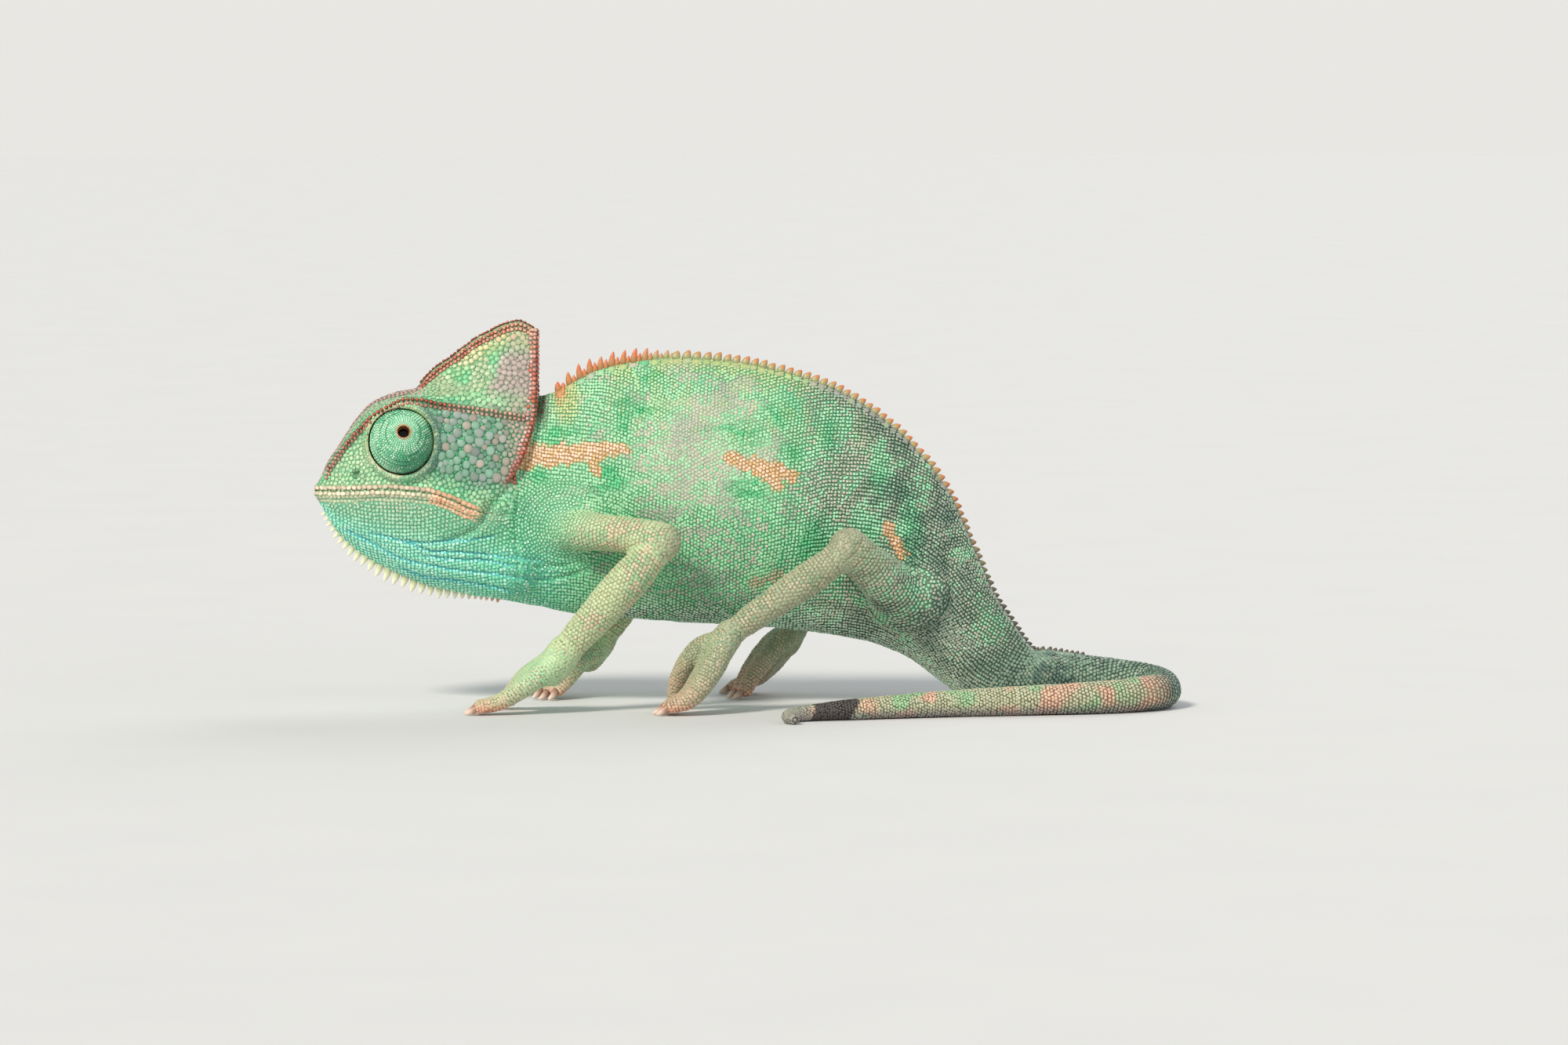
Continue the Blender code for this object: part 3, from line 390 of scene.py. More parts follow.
HIND_LEFT = {
    "upper": [(15.6, 0.6, 9.6, 2.5), (14.2, 4.4, 11.0, 2.6), (11.8, 7.3, 13.6, 2.15),
              (9.6, 8.9, 15.7, 2.0)],
    "lower": [(8.9, 9.0, 15.0, 1.5), (5.6, 9.3, 12.6, 1.65), (1.8, 9.3, 10.0, 1.45),
              (-1.8, 9.2, 7.4, 1.2)],
    "palm": [(-1.6, 9.2, 7.6, 1.5), (-2.7, 9.0, 5.9, 1.5)],
    "outer": [(-2.2, 9.5, 6.6, 1.15), (-3.6, 9.9, 4.2, 1.3), (-5.4, 10.4, 1.7, 1.15),
              (-7.5, 10.7, 0.75, 0.85)],
    "inner": [(-2.4, 8.7, 6.7, 1.1), (-4.3, 7.4, 5.9, 1.15), (-6.0, 6.0, 3.4, 1.0),
              (-6.6, 5.2, 0.8, 0.8)]}
HIND_RIGHT = {
    "upper": [(15.9, 0.6, 9.2, 2.5), (15.0, 4.4, 10.3, 2.6), (13.8, 7.4, 12.2, 2.15),
              (12.6, 9.0, 13.8, 2.0)],
    "lower": [(12.0, 9.1, 13.0, 1.5), (9.6, 9.4, 11.0, 1.65), (6.8, 9.4, 8.8, 1.45),
              (4.4, 9.3, 6.7, 1.2)],
    "palm": [(4.6, 9.3, 6.9, 1.5), (3.7, 9.2, 5.2, 1.5)],
    "outer": [(4.1, 9.6, 6.0, 1.15), (2.8, 10.1, 4.0, 1.3), (0.8, 10.7, 1.7, 1.15),
              (-1.4, 11.2, 0.75, 0.85)],
    "inner": [(4.0, 8.8, 6.0, 1.1), (2.4, 7.5, 5.0, 1.1), (0.6, 6.2, 2.8, 1.0),
              (-0.6, 5.4, 0.8, 0.8)]}
LIMBS = [(FORE, LEFT, FORE_LEFT), (FORE, RIGHT, FORE_RIGHT), (HIND, LEFT, HIND_LEFT),
         (HIND, RIGHT, HIND_RIGHT)]
TOES = {FORE: {"outer": 2, "inner": 3}, HIND: {"outer": 3, "inner": 2}}
TOE_SPACING = 1.15
LIMB_SIDES = 28
UPPER, LOWER, PALM, TOE = 0.0, 1.0, 2.0, 3.0     # stages of a limb, for its colours
claws = []                                       # (tip of toe, direction, radius, side)
limb_tubes = []                                  # (kind, rows, stage)


def toe_paths(path, count, side):
    """The paths of a mitten's toes, and where their claws grow."""
    rows = np.array(path, float) * (1, side, 1, 1)
    along = unit(np.gradient(rows[:, :3], axis=0))
    beside = unit(np.cross(along, (0, 0, 1.0)))
    spread = np.array([0.35, 0.75, 1.0, 1.15])[:, None] * TOE_SPACING
    toes = []
    for number in range(count):
        shift = number - (count - 1) / 2
        toe = rows.copy()
        toe[:, :3] += beside * spread * shift * rows[:, 3:] / rows[-2, 3]
        toe[:, 3] *= (1.12, 1.0, 0.95, 0.9) if count == 2 else (1.0, 0.88, 0.82, 0.78)
        toe[-1, :3] -= along[-1] * 0.25 * abs(shift)
        toes.append(toe)
        ahead = unit(np.array([along[-1][0], along[-1][1], 0.0]))
        claws.append((toe[-1, :3], ahead, toe[-1, 3]))
    return toes


for row, (kind, side, joints) in enumerate(LIMBS):
    tubes = [(np.array(joints[name]) * (1, side, 1, 1), stage)
             for name, stage in (("upper", UPPER), ("lower", LOWER), ("palm", PALM))]
    for bundle in ("outer", "inner"):
        tubes += [(toe, TOE) for toe in toe_paths(joints[bundle], TOES[kind][bundle], side)]
    for column, (path, stage) in enumerate(tubes):
        grid = tube_rings(path, LIMB_SIDES, samples=8)
        flesh.append(loft(f"limb_{row}_{column}", grid))
        along = stage + np.linspace(0, 0.999, len(grid))
        add_to_chart(grid, kind, (column / 8, row / 4, 1 / 8, 1 / 4), along,
                     np.arange(LIMB_SIDES) / LIMB_SIDES)
        limb_tubes.append((kind, path, stage))

# Muscle behind the jaw and over shoulder blades and hips: places, and the three half sizes.
for place, half in (((-22.4, 1.5, 14.6), (3.3, 2.9, 4.4)), ((-17.2, 2.9, 17.6), (3.4, 2.1, 3.3)),
                    ((15.4, 2.7, 11.0), (4.4, 3.0, 4.0))):
    for side in (LEFT, RIGHT):
        bpy.ops.mesh.primitive_uv_sphere_add(segments=32, ring_count=20)
        bpy.context.object.data.transform(Matrix.Translation((place[0], place[1] * side, place[2]))
                                          @ Matrix.Diagonal((*half, 1)))
        flesh.append(bpy.context.object)


def tree_of(places):
    """A search tree that finds the numbers of the places."""
    tree = KDTree(len(places))
    for number, place in enumerate(places):
        tree.insert(place, number)
    tree.balance()
    return tree


chart = {key: np.concatenate(rows) for key, rows in chart.items()}
chart_tree = tree_of(chart["point"])


def on_chart(places):
    """Chart numbers nearest to the places, and the places' own positions on the unwrap."""
    near = np.array([chart_tree.find(place)[1] for place in places])
    away = places - chart["point"][near]
    uv = chart["uv"][near] + np.stack([(away * chart["du"][near]).sum(1),
                                       (away * chart["dv"][near]).sum(1)], axis=1)
    return near, np.clip(uv, 0.002, 0.998)


# Markings
# Pigment cells and thin colour layers in the skin: mint and grey-rose granules mixed, peach bars on
# the flank, and turquoise creases in a mint throat, with some painted shade. Skin and scales share them.

def linear(code):
    """Linear red, green and blue of an sRGB hex code."""
    part = np.array([int(code[i:i + 2], 16) for i in (1, 3, 5)]) / 255
    return np.where(part <= 0.04045, part / 12.92, ((part + 0.055) / 1.055) ** 2.4)


def soft(value, low, high):
    """0 below low, 1 above high, and smooth between them."""
    share = np.clip((np.asarray(value, float) - low) / (high - low), 0, 1)
    return share * share * (3 - 2 * share)


def mottle(points, size, seed):
    """Smooth random values from 0 to 1, in lumps of this size in millimetres."""
    cells = np.random.default_rng(seed).random((32, 32, 32))
    at = np.asarray(points, float) / size
    low = np.floor(at).astype(int)
    f = at - low
    f = f * f * (3 - 2 * f)
    total = np.zeros(len(at))
    for corner in range(8):
        step = np.array([corner & 1, corner >> 1 & 1, corner >> 2])
        i = (low + step) % 32
        total += np.where(step, f, 1 - f).prod(axis=1) * cells[i[:, 0], i[:, 1], i[:, 2]]
    return np.clip((total - 0.5) * 1.5 + 0.5, 0, 1)


def wash(base, code, share):
    """The base colours with this much of another laid over them."""
    return base + (linear(code) - base) * np.broadcast_to(share, len(base))[:, None]


def plain(code, points):
    return np.tile(linear(code), (len(points), 1))


def nearest_on(x, z, start, end):
    """Share of the way from start to end that is nearest to each place, and its distance."""
    way = np.subtract(end, start)
    share = np.clip(((x - start[0]) * way[0] + (z - start[1]) * way[1]) / (way @ way), 0, 1)
    return share, np.hypot(x - start[0] - share * way[0], z - start[1] - share * way[1])


def stroke(x, z, start, end, half_start, half_end, ragged):
    """1 inside a tapering stroke between two places (x, z), 0 outside, with a ragged edge."""
    share, away = nearest_on(x, z, start, end)
    return 1 - soft(away - half_start - (half_end - half_start) * share + ragged, -0.16, 0.2)


def lump(x, z, at, reach):
    """A round soft spot, 1 at its middle."""
    return np.exp(-((x - at[0]) / reach[0]) ** 2 - ((z - at[1]) / reach[1]) ** 2)


def lumps(x, z, spots):
    """The strongest of several soft spots (x, z, reach in x, reach in z)."""
    return np.maximum.reduce([lump(x, z, spot[:2], spot[2:]) for spot in spots])


def lengths(line):
    """How far along a line each of its places lies."""
    return np.concatenate([[0], np.cumsum(np.linalg.norm(np.diff(line, axis=0), axis=1))])


def at_lengths(steps, reach, line):
    """Places these steps along a line whose own places lie at the lengths in reach."""
    return np.column_stack([np.interp(steps, reach, column) for column in line.T])


def along_lines(x, z, lines, width):
    """1 on any of the lines through places (x, z), less beside them and towards their ends."""
    found = np.zeros(len(x))
    for line in lines:
        line = spline(line, np.linspace(0, len(line) - 1, 4 * len(line) - 3))
        reach = lengths(line)
        for start, end, before, after in zip(line[:-1], line[1:], reach[:-1], reach[1:]):
            share, away = nearest_on(x, z, start, end)
            here = before + share * (after - before)
            fade = soft(here, 0, 1.2) * soft(reach[-1] - here, 0, 1.2)
            found = np.maximum(found, np.exp(-(away / width) ** 2) * fade)
    return found


THROAT_CREASES = [
    [(-39.0, 17.1), (-35.9, 15.7), (-33.1, 14.2), (-28.1, 13.2), (-23.9, 12.8), (-21.0, 12.4),
     (-18.5, 12.4)],
    [(-36.5, 16.8), (-32.5, 15.8), (-30.2, 15.0), (-27.0, 14.9), (-22.0, 14.4), (-19.0, 14.0)],
    [(-33.3, 16.1), (-31.0, 15.8), (-29.3, 15.9), (-26.5, 16.1), (-23.5, 16.6)],
    [(-31.4, 14.6), (-27.8, 14.2), (-24.7, 14.1), (-21.5, 13.4)],
    [(-33.7, 13.5), (-31.0, 12.4), (-28.1, 12.1), (-24.3, 11.5), (-21.8, 10.9)]]
NECK_CREASES = [[(-21.7, 21.5), (-22.0, 17.5), (-21.7, 14.0), (-21.9, 10.6)],
                [(-23.4, 12.7), (-19.9, 12.1), (-17.0, 12.6), (-14.7, 13.5)],
                [(-21.0, 13.4), (-17.1, 13.7), (-13.9, 14.8)],
                [(-16.5, 14.6), (-14.2, 15.0), (-11.0, 16.4)]]
JAW_FOLD = [[(-20.9, 23.6), (-21.9, 22.3), (-22.9, 20.8), (-24.5, 19.0), (-26.0, 17.0),
             (-29.3, 15.8)]]
SHOULDER = (-17.5, 17.3)
# Soft spots on the flank: x, z, reach in x and reach in z.
ROSE_SPOTS = [(-15.5, 28.4, 2.5, 0.8), (9.5, 23.5, 3, 3), (-3, 15.5, 5, 3)]
VIVID_SPOTS = [(-18.0, 26.0, 2.5, 1.0), (-19.8, 22.5, 1.1, 1.2), (-13.0, 22.2, 2.2, 1.8),
               (-11.8, 27.2, 1.0, 3.0), (-9.2, 31.3, 1.4, 1.2), (-9.0, 28.4, 3.0, 0.8),
               (0.4, 21.0, 2.2, 1.6), (4.4, 24.3, 1.5, 1.4), (-0.5, 26.2, 2.8, 1.6),
               (3.5, 28.0, 2.2, 1.6), (7.8, 26.3, 1.7, 2.8), (6.5, 15.5, 2.5, 3.0),
               (-12.3, 19.4, 1.4, 1.0), (11.5, 16.5, 1.4, 3.2), (12.6, 22.5, 1.4, 2.6),
               (15.5, 17.0, 1.3, 4)]
# Peach bars, as strokes: both ends (x, z) and the half width at each.
PEACH_BARS = [((-21.4, 23.9), (-16.6, 24.3), 1.05, 0.95), ((-16.6, 24.3), (-11.6, 24.7), 0.95, 0.45),
              ((-15.0, 24.0), (-14.4, 22.7), 0.55, 0.25), ((-1.3, 23.8), (4.2, 22.3), 0.65, 0.60),
              ((1.2, 23.0), (2.9, 21.6), 0.85, 0.55), ((13.5, 17.2), (14.6, 14.9), 0.5, 0.55)]


def trunk_pigment(points, near, chance):
    x, y, z = points.T
    ridge = np.minimum(chart["around"][near], 1 - chart["around"][near]) * 2
    coarse, fine = mottle(points, 2.1, 11), mottle(points, 0.7, 13)
    swept = mottle(points * (0.4, 1, 1.4), 0.8, 12)
    angle, reach = np.arctan2(z - 11, x - 3), np.hypot(x - 3, z - 11)
    fanned = mottle(np.column_stack([angle * 13, reach * 0.35, y * 0.4]), 0.9, 14)
    streak = swept + (fanned - swept) * soft(x, -1, 6)
    rear, low = soft(x, 1, 10), soft(20.5 - z, 0, 4)
    middle = soft(lump(x, z, (-4.5, 24.5), (9, 7)) + 0.7 * (streak - 0.5), 0.25, 0.85) * (1 - rear)
    rose = middle * 0.15 + rear * 0.20 + lumps(x, z, ROSE_SPOTS) * 0.12
    vivid = lumps(x, z, VIVID_SPOTS)
    value = 0.22 * coarse + 0.30 * streak + 0.08 * fine + 0.40 * chance
    colour = wash(plain("#A0D8A6", points), "#6FC890", soft(streak, 0.35, 0.75) * 0.8)
    colour = wash(colour, "#A6DCB4", rear * 0.7)
    greys = wash(plain("#C1BBA8", points), "#A3A597", soft(coarse, 0.3, 0.8) * 0.8)
    greys = wash(greys, "#CDB8AC", soft(chance, 0.6, 1.0) * (0.5 + 0.4 * rear))
    share = soft(value + rose - 0.3 * vivid, 0.50, 0.66)
    colour = colour + (greys - colour) * (share * 0.92)[:, None]
    bright = soft(vivid * 0.5 + 0.4 * streak + 0.2 * coarse + 0.25 * chance, 0.62, 0.98)
    bright *= 1 - 0.4 * rear
    colour = wash(colour, "#3FBC78", bright * 0.85)
    pale = soft(mottle(points * (1, 1, 0.3), 0.7, 16), 0.55, 0.8) * soft(z, 22, 29)
    colour = wash(colour, "#B9CC92", pale * 0.45)
    # Towards the rump the heads darken in streaky patches: partly the skin's own dark streaks, partly
    # painted shade.
    toned = 0.45 * fanned + 0.2 * coarse + 0.35 * chance
    colour = wash(colour, "#4E8069", soft(x, 5, 14) * soft(toned, 0.45, 0.7) * 0.55)
    seam = wash(plain("#60AE80", points), "#CBD9BC", middle * 0.85)
    seam = wash(seam, "#45B07A", low * 0.7)
    seam = wash(seam, "#2A9A62", bright * 0.8)
    # The seams darken towards the rump too: dark skin between the granules, deepened by painted shade.
    seam = wash(seam, "#2C8256", rear * 0.85)
    dark = soft(x, 4, 15) * soft(0.5 * streak + 0.5 * coarse, 0.25, 0.7)
    seam = wash(seam, "#1C4436", dark * 0.85)
    front = soft(-12.5 - x, 0, 5) * soft(z, 12, 15) * (1 - bright)
    colour = wash(colour, "#A5DDB0", front * (0.25 + 0.25 * fine))
    under_crest = soft(0.20 - ridge, 0, 0.12) * soft(x, -15, -11) * soft(8 - x, 0, 5)
    colour = wash(colour, "#C3CB7E", 0.75 * under_crest * soft(fine + coarse, 0.4, 1.2))
    spine = soft(0.10 - ridge, 0, 0.05) * soft(x, 4, 9)
    colour = wash(colour, "#9A9692", spine * 0.8)
    seam = wash(seam, "#2B3833", spine * 0.8)
    ragged = (fine - 0.5) * 0.5 + (chance - 0.5) * 0.3
    bars = np.maximum.reduce([stroke(x, z, *bar, ragged) for bar in PEACH_BARS])
    colour = wash(colour, "#DBA263", soft(bars, 0.0, 0.5) * 0.85)
    colour = wash(colour, "#F2CDB4", soft(bars, 0.3, 0.8) * (0.25 + 0.75 * soft(chance, 0.15, 0.7)))
    seam = wash(seam, "#C08F45", soft(bars, 0.1, 0.6) * 0.9)
    bruise = stroke(x, z, (0.9, 11.9), (2.9, 12.8), 0.55, 0.5, ragged)
    colour = wash(colour, "#D8A68E", bruise * 0.8)
    nape = soft(lump(x, z, (-17.9, 30.6), (0.8, 1.9)) + 0.25 * (chance - 0.5), 0.3, 0.9)
    colour = wash(colour, "#C6BF74", soft(lump(x, z, (-17.3, 29.4), (1.7, 2.8)), 0.25, 0.9) * 0.75)
    colour = wash(colour, "#DE9560", nape * 0.9)
    seam = wash(seam, "#BC8248", nape * 0.8)
    # Painted shadow of the casque on the nape, laid over the skin's own rust brown there.
    rust_and_casque_shadow = soft(-18.7 - x, 0, 0.8) * soft(z, 26.0, 28.2)
    colour = wash(colour, "#5B3020", rust_and_casque_shadow)
    neck = soft(-18.0 - x, -2.0, 2.5) * soft(21.5 - z, 0, 4)
    colour = wash(colour, "#74C896", neck * 0.75)
    gullet = soft(-16.0 - x, -4, 4) * soft(17.0 - z, 0, 3.5)
    colour = wash(colour, "#7CD3A2", gullet * 0.9)
    colour = wash(colour, "#CFF6DE", np.maximum(gullet, neck) * soft(chance, 0.5, 0.9) * 0.7)
    seam = wash(seam, "#389A70", neck * 0.8)
    seam = wash(seam, "#62C8B4", gullet * soft(-18.0 - x, -3, 3) * 0.85)
    colour = wash(colour, "#6AD0CE", along_lines(x, z, THROAT_CREASES, 0.15) * 0.6)
    belly = soft(ridge, 0.74, 0.88) * soft(x, -17, -11)
    colour = wash(colour, "#C3DEC6", 0.7 * belly * soft(mottle(points, 0.55, 15), 0.2, 0.5))
    seam = wash(seam, "#24523F", belly * 0.7)
    return colour, seam


def tail_pigment(points, near, chance):
    along = chart["along"][near]
    coarse, fine = mottle(points, 2.4, 21), mottle(points, 0.6, 22)
    colour = wash(plain("#7D9A82", points), "#5B7768", soft(coarse + fine, 0.6, 1.4))
    colour = wash(colour, "#A8B09A", soft(chance, 0.6, 1) * 0.5)
    light = wash(plain("#B9BB98", points), "#DDB295", soft(mottle(points, 1.9, 23), 0.4, 0.75))
    light = wash(light, "#9CC290", soft(mottle(points, 1.6, 24), 0.5, 0.8))
    back = soft(along, 17.2, 18.4)
    colour = colour + (light - colour) * back[:, None]
    colour = wash(colour, "#8F8A88", soft(0.9 - points[:, 2], -0.3, 0.6) * 0.8)
    slant = along + 0.12 * (points[:, 2] - 1) + 0.06 * (fine - 0.5)
    band = soft(slant, 23.92, 24.0) * soft(25.05 - slant, 0, 0.08)
    colour = wash(colour, "#4A423F", band)
    colour = wash(colour, "#9B998E", soft(slant, 25.0, 25.2) * 0.8)
    return colour, colour * 0.45


def limb_pigment(points, near, chance):
    along, hind = chart["along"][near], chart["part"][near] == HIND
    coarse, fine = mottle(points, 1.8, 31), mottle(points, 0.6, 32)
    fore_colour = wash(plain("#B4C998", points), "#8FC08C", soft(coarse, 0.35, 0.75))
    hind_colour = wash(plain("#9AA584", points), "#7C9C78", soft(coarse, 0.4, 0.8))
    colour = np.where(hind[:, None], hind_colour, fore_colour)
    tan = soft(0.45 * chance + 0.55 * coarse, 0.48, 0.75) * np.where(hind, 0.4, 0.7)
    colour = wash(colour, "#DCBFA0", tan)
    seam = wash(colour * 0.5, "#E3D9B4", np.where(hind, 0.65, 0.8) * (1 - 0.4 * coarse))
    colour = wash(colour, "#8CCB9F", soft(along, 2.2, 2.8) * ~hind * 0.35)
    # Painted shade: elbows and knees are darker where the limb bends.
    joint = soft(along, 0.84, 0.98) * soft(1.14 - along, 0, 0.1)
    colour = wash(colour, "#7E8C76", joint * 0.55)
    toes = soft(along, 3.35, 3.8)
    colour = wash(colour, "#D3A08A", toes * (0.45 + 0.4 * fine))
    sole = soft(1.1 - points[:, 2], -0.3, 0.7) * soft(along, 2.5, 3)
    return wash(colour, "#EDAA8C", sole * 0.85), wash(seam, "#C98A72", sole * 0.8)


def head_pigment(points, near, chance):
    x, _, z = points.T
    around = chart["around"][near]
    coarse, fine = mottle(points, 1.7, 41), mottle(points, 0.6, 42)
    mixed = 0.45 * coarse + 0.2 * fine + 0.35 * chance
    colour = wash(plain("#A9D2A2", points), "#72C690", soft(mixed, 0.4, 0.72))
    seam = plain("#57A678", points)
    # Cheek and temple: grey-lilac tubercles with vivid green between them.
    cheek = soft(x, -31, -29.4) * soft(around, 4.8, 5.4) * soft(7.2 - around, 0, 0.4)
    colour = wash(colour, "#6FA585", cheek)
    colour = wash(colour, "#94A097", cheek * soft(mixed + 0.04 * (x + 27), 0.45, 0.65) * 0.7)
    colour = wash(colour, "#B89E8E", soft(x, -24.2, -22) * soft(around, 4.9, 5.5) * 0.8)
    seam = wash(seam, "#348A5F", cheek)
    # Casque: yellow-green under the crown, bright green patches, grey-rose at the back.
    wall = soft(around, 7.2, 7.6) * soft(x, -31, -29.5)
    colour = wash(colour, "#A3B58D", wall)
    green = soft(coarse + 0.3 * lump(x, z, (-26.5, 31.2), (2.2, 1.5)), 0.5, 0.85)
    colour = wash(colour, "#55B87C", wall * green * 0.85)
    crest = soft(3.0 - (through(CROWN, x)[:, 0] - z), 0, 2.0)
    colour = wash(colour, "#C6BC82", wall * crest * soft(x, -29.5, -26) * (0.7 + 0.3 * fine))
    colour = wash(colour, "#E3B79A", wall * soft(0.75 * crest + 0.4 * chance, 0.85, 1.1) * 0.6)
    grey = soft(x + 0.35 * (33 - z), -24.9, -22.4) + 0.4 * (mixed - 0.5)
    grey = soft(grey, 0.25, 0.8) * (1 - 0.7 * soft(z, 33, 34.5))
    colour = wash(colour, "#B4A39A", wall * grey)
    seam = wash(seam, "#74B482", wall * 0.8)
    seam = wash(seam, "#8F9484", wall * grey)
    # Forehead strip and snout.
    strip = soft(around, 7.3, 8.0) * soft(-30.2 - x, 0, 1)
    colour = wash(colour, "#BFA79C", strip * (0.4 + 0.5 * fine))
    snout = soft(-34.3 - x, 0, 2) * soft(around, 4.4, 5) * soft(7 - around, 0, 1)
    colour = wash(colour, "#C9CDA8", snout * (0.1 + 0.5 * fine))
    seam = wash(seam, "#6DB083", snout)
    # Jaw and throat.
    jaw = soft(4.5 - around, 0, 0.4)
    colour = wash(colour, "#A6D1AE", jaw)
    colour = wash(colour, "#86C79E", jaw * soft(x, -34, -26))
    lined = soft(around, 3.2, 4.0) * soft(0.5 * chance + 0.5 * fine, 0.3, 0.7)
    colour = wash(colour, "#CBC6A8", jaw * lined * 0.7)
    throat = jaw * soft(3.4 - around, 0, 1.1)
    colour = wash(colour, "#A8F0CC", throat)
    colour = wash(colour, "#82DCAC", throat * soft(x, -31, -24) * 0.8)
    colour = wash(colour, "#D2F8E2", throat * soft(chance, 0.45, 0.85) * 0.7)
    creases = along_lines(x, z, THROAT_CREASES, 0.15)
    colour = wash(colour, "#72DCE0", jaw * creases * 0.6)
    seam = wash(seam, "#5FB088", jaw)
    seam = wash(seam, "#62CDB4", throat)
    seam = wash(seam, "#2FA9C4", jaw * creases * 0.8)
    return colour, seam


TAIL_MARKINGS = (10.4, 12.4)           # rib numbers between which they take over from the trunk's


def markings(points, chance):
    """Pigments of scales rooted at these places and of the seams round them."""
    near, uv = on_chart(points)
    part, along = chart["part"][near], chart["along"][near]
    colour, seam = np.zeros((2, len(points), 3))
    for some, function in ((part == HEAD, head_pigment),
                           ((part == BODY) & (along < TAIL_MARKINGS[1]), trunk_pigment),
                           ((part == BODY) & (along >= TAIL_MARKINGS[1]), tail_pigment),
                           (part >= FORE, limb_pigment)):
        if some.any():
            colour[some], seam[some] = function(points[some], near[some], chance[some])
    some = (part == BODY) & (along > TAIL_MARKINGS[0]) & (along < TAIL_MARKINGS[1])
    if some.any():
        share = soft(along[some], *TAIL_MARKINGS)[:, None]
        for rows, ends in zip((colour, seam), tail_pigment(points[some], near[some], chance[some])):
            rows[some] += (ends - rows[some]) * share
    # Behind the jaw and on the roots of the legs, the markings of the trunk run on.
    x, _, z = points.T
    share = np.select([part == HEAD, part == FORE, part == HIND],
                      [soft(x, -24.5, -21.8) * soft(22 - z, 0, 1.5), 1 - soft(along, 0.12, 0.62),
                       1 - soft(along, 0.35, 0.92)])
    some = share > 0
    if some.any():
        behind = np.array([trunk_tree.find(place)[1] for place in points[some]])
        for rows, ends in zip((colour, seam), trunk_pigment(points[some], behind, chance[some])):
            rows[some] += (ends - rows[some]) * share[some, None]
    return colour, seam, near, uv


trunk_tree = tree_of(trunk_grid.reshape(-1, 3))


# Skin
# One thin, dry, folded hide over the whole flesh, tight on the skull and loose at throat, neck and
# joints. It is fused from the flesh, so no seam shows, and lies inside it by the scales' height.

COAT = 0.12                            # how deep the skin lies under the tips of the scales
GRAIN = 0.17                           # size of the faces that the skin is first made of
SKIN_FACES = 190000
GAZE = Vector((0.08, 0.93, 0.34))      # where it looks, y away from the midline
TURRET_BACK = 1.8                      # how far behind its centre the turret ends
LID_CONE = 0.22                        # how far the lids rise round their opening
LID_CONE_REACH = 0.35                  # the angle within which they do


def settled(item):
    """A plain mesh of the object with its modifiers applied; the object itself is removed."""
    bpy.context.view_layer.update()
    mesh = bpy.data.meshes.new_from_object(item.evaluated_get(bpy.context.evaluated_depsgraph_get()))
    name = item.name
    bpy.data.objects.remove(item)
    return new_object(name, mesh)


def turned(name, profile, steps):
    """Round form from (radius, height) points that run down its outer side from the top."""
    form = bmesh.new()
    points = [form.verts.new((radius, 0.0, height)) for radius, height in profile]
    for first, second in zip(points[:-1], points[1:]):
        form.edges.new((first, second))
    bmesh.ops.spin(form, geom=form.verts[:] + form.edges[:], axis=(0, 0, 1), cent=(0, 0, 0),
                   steps=steps, angle=2 * math.pi, use_duplicate=False)
    bmesh.ops.remove_doubles(form, verts=form.verts, dist=0.0002)
    mesh = bpy.data.meshes.new(name)
    form.to_mesh(mesh)
    form.free()
    face_out(mesh)
    return new_object(name, mesh)


def sphere_arc(radius, narrowest, widest, count, cone=0.0):
    """Points (radius, height) down the side of a ball, with a low cone round its top."""
    angles = np.linspace(narrowest, widest, count)
    return [(radius * math.sin(angle),
             radius * math.cos(angle) + cone * math.exp(-(angle / LID_CONE_REACH) ** 2))
            for angle in angles]


def orbit_frame(side):
    """Places a form that looks along +Z in the eye's place, looking where the animal looks."""
    facing = mirrored(GAZE, side).normalized().to_track_quat("Z", "Y").to_matrix().to_4x4()
    return Matrix.Translation(mirrored(EYE, side)) @ facing


def vectors(rows, key):
    found = np.empty(len(rows) * 3, np.float32)
    rows.foreach_get(key, found)
    return found.reshape(-1, 3).astype(float)


def positions(mesh):
    return vectors(mesh.vertices, "co")


def normals(mesh):
    return vectors(mesh.vertex_normals, "vector")


def move_to(mesh, places):
    mesh.vertices.foreach_set("co", places.astype(np.float32).ravel())


def distance(points, place):
    """Distance from a place or from its mirror image, whichever is on the same side."""
    x, y, z = points.T
    return np.linalg.norm(np.column_stack([x, np.abs(y), z]) - place, axis=1)


LOOSE_JOINTS = [((-16.8, 4.8, 17.0), 4.2, 0.9), ((14.3, 4.6, 11.2), 4.6, 0.9)]
for _, side, joints in LIMBS:
    LOOSE_JOINTS += [((x, y, z), 2.7, 0.35) for x, y, z, _ in (joints["palm"][0], joints["lower"][0])]


def loose_skin(points):
    """How loosely the hide hangs, 0 to 1: most where head, legs and tail join the trunk."""
    x, _, z = points.T
    loose = soft(x, -25.6, -23.6) * soft(-18.0 - x, 0, 2) * soft(23.2 - z, 0, 3)
    for place, reach, most in LOOSE_JOINTS:
        loose = np.maximum(loose, most * soft(reach - distance(points, place), 0, 1.6))
    return loose


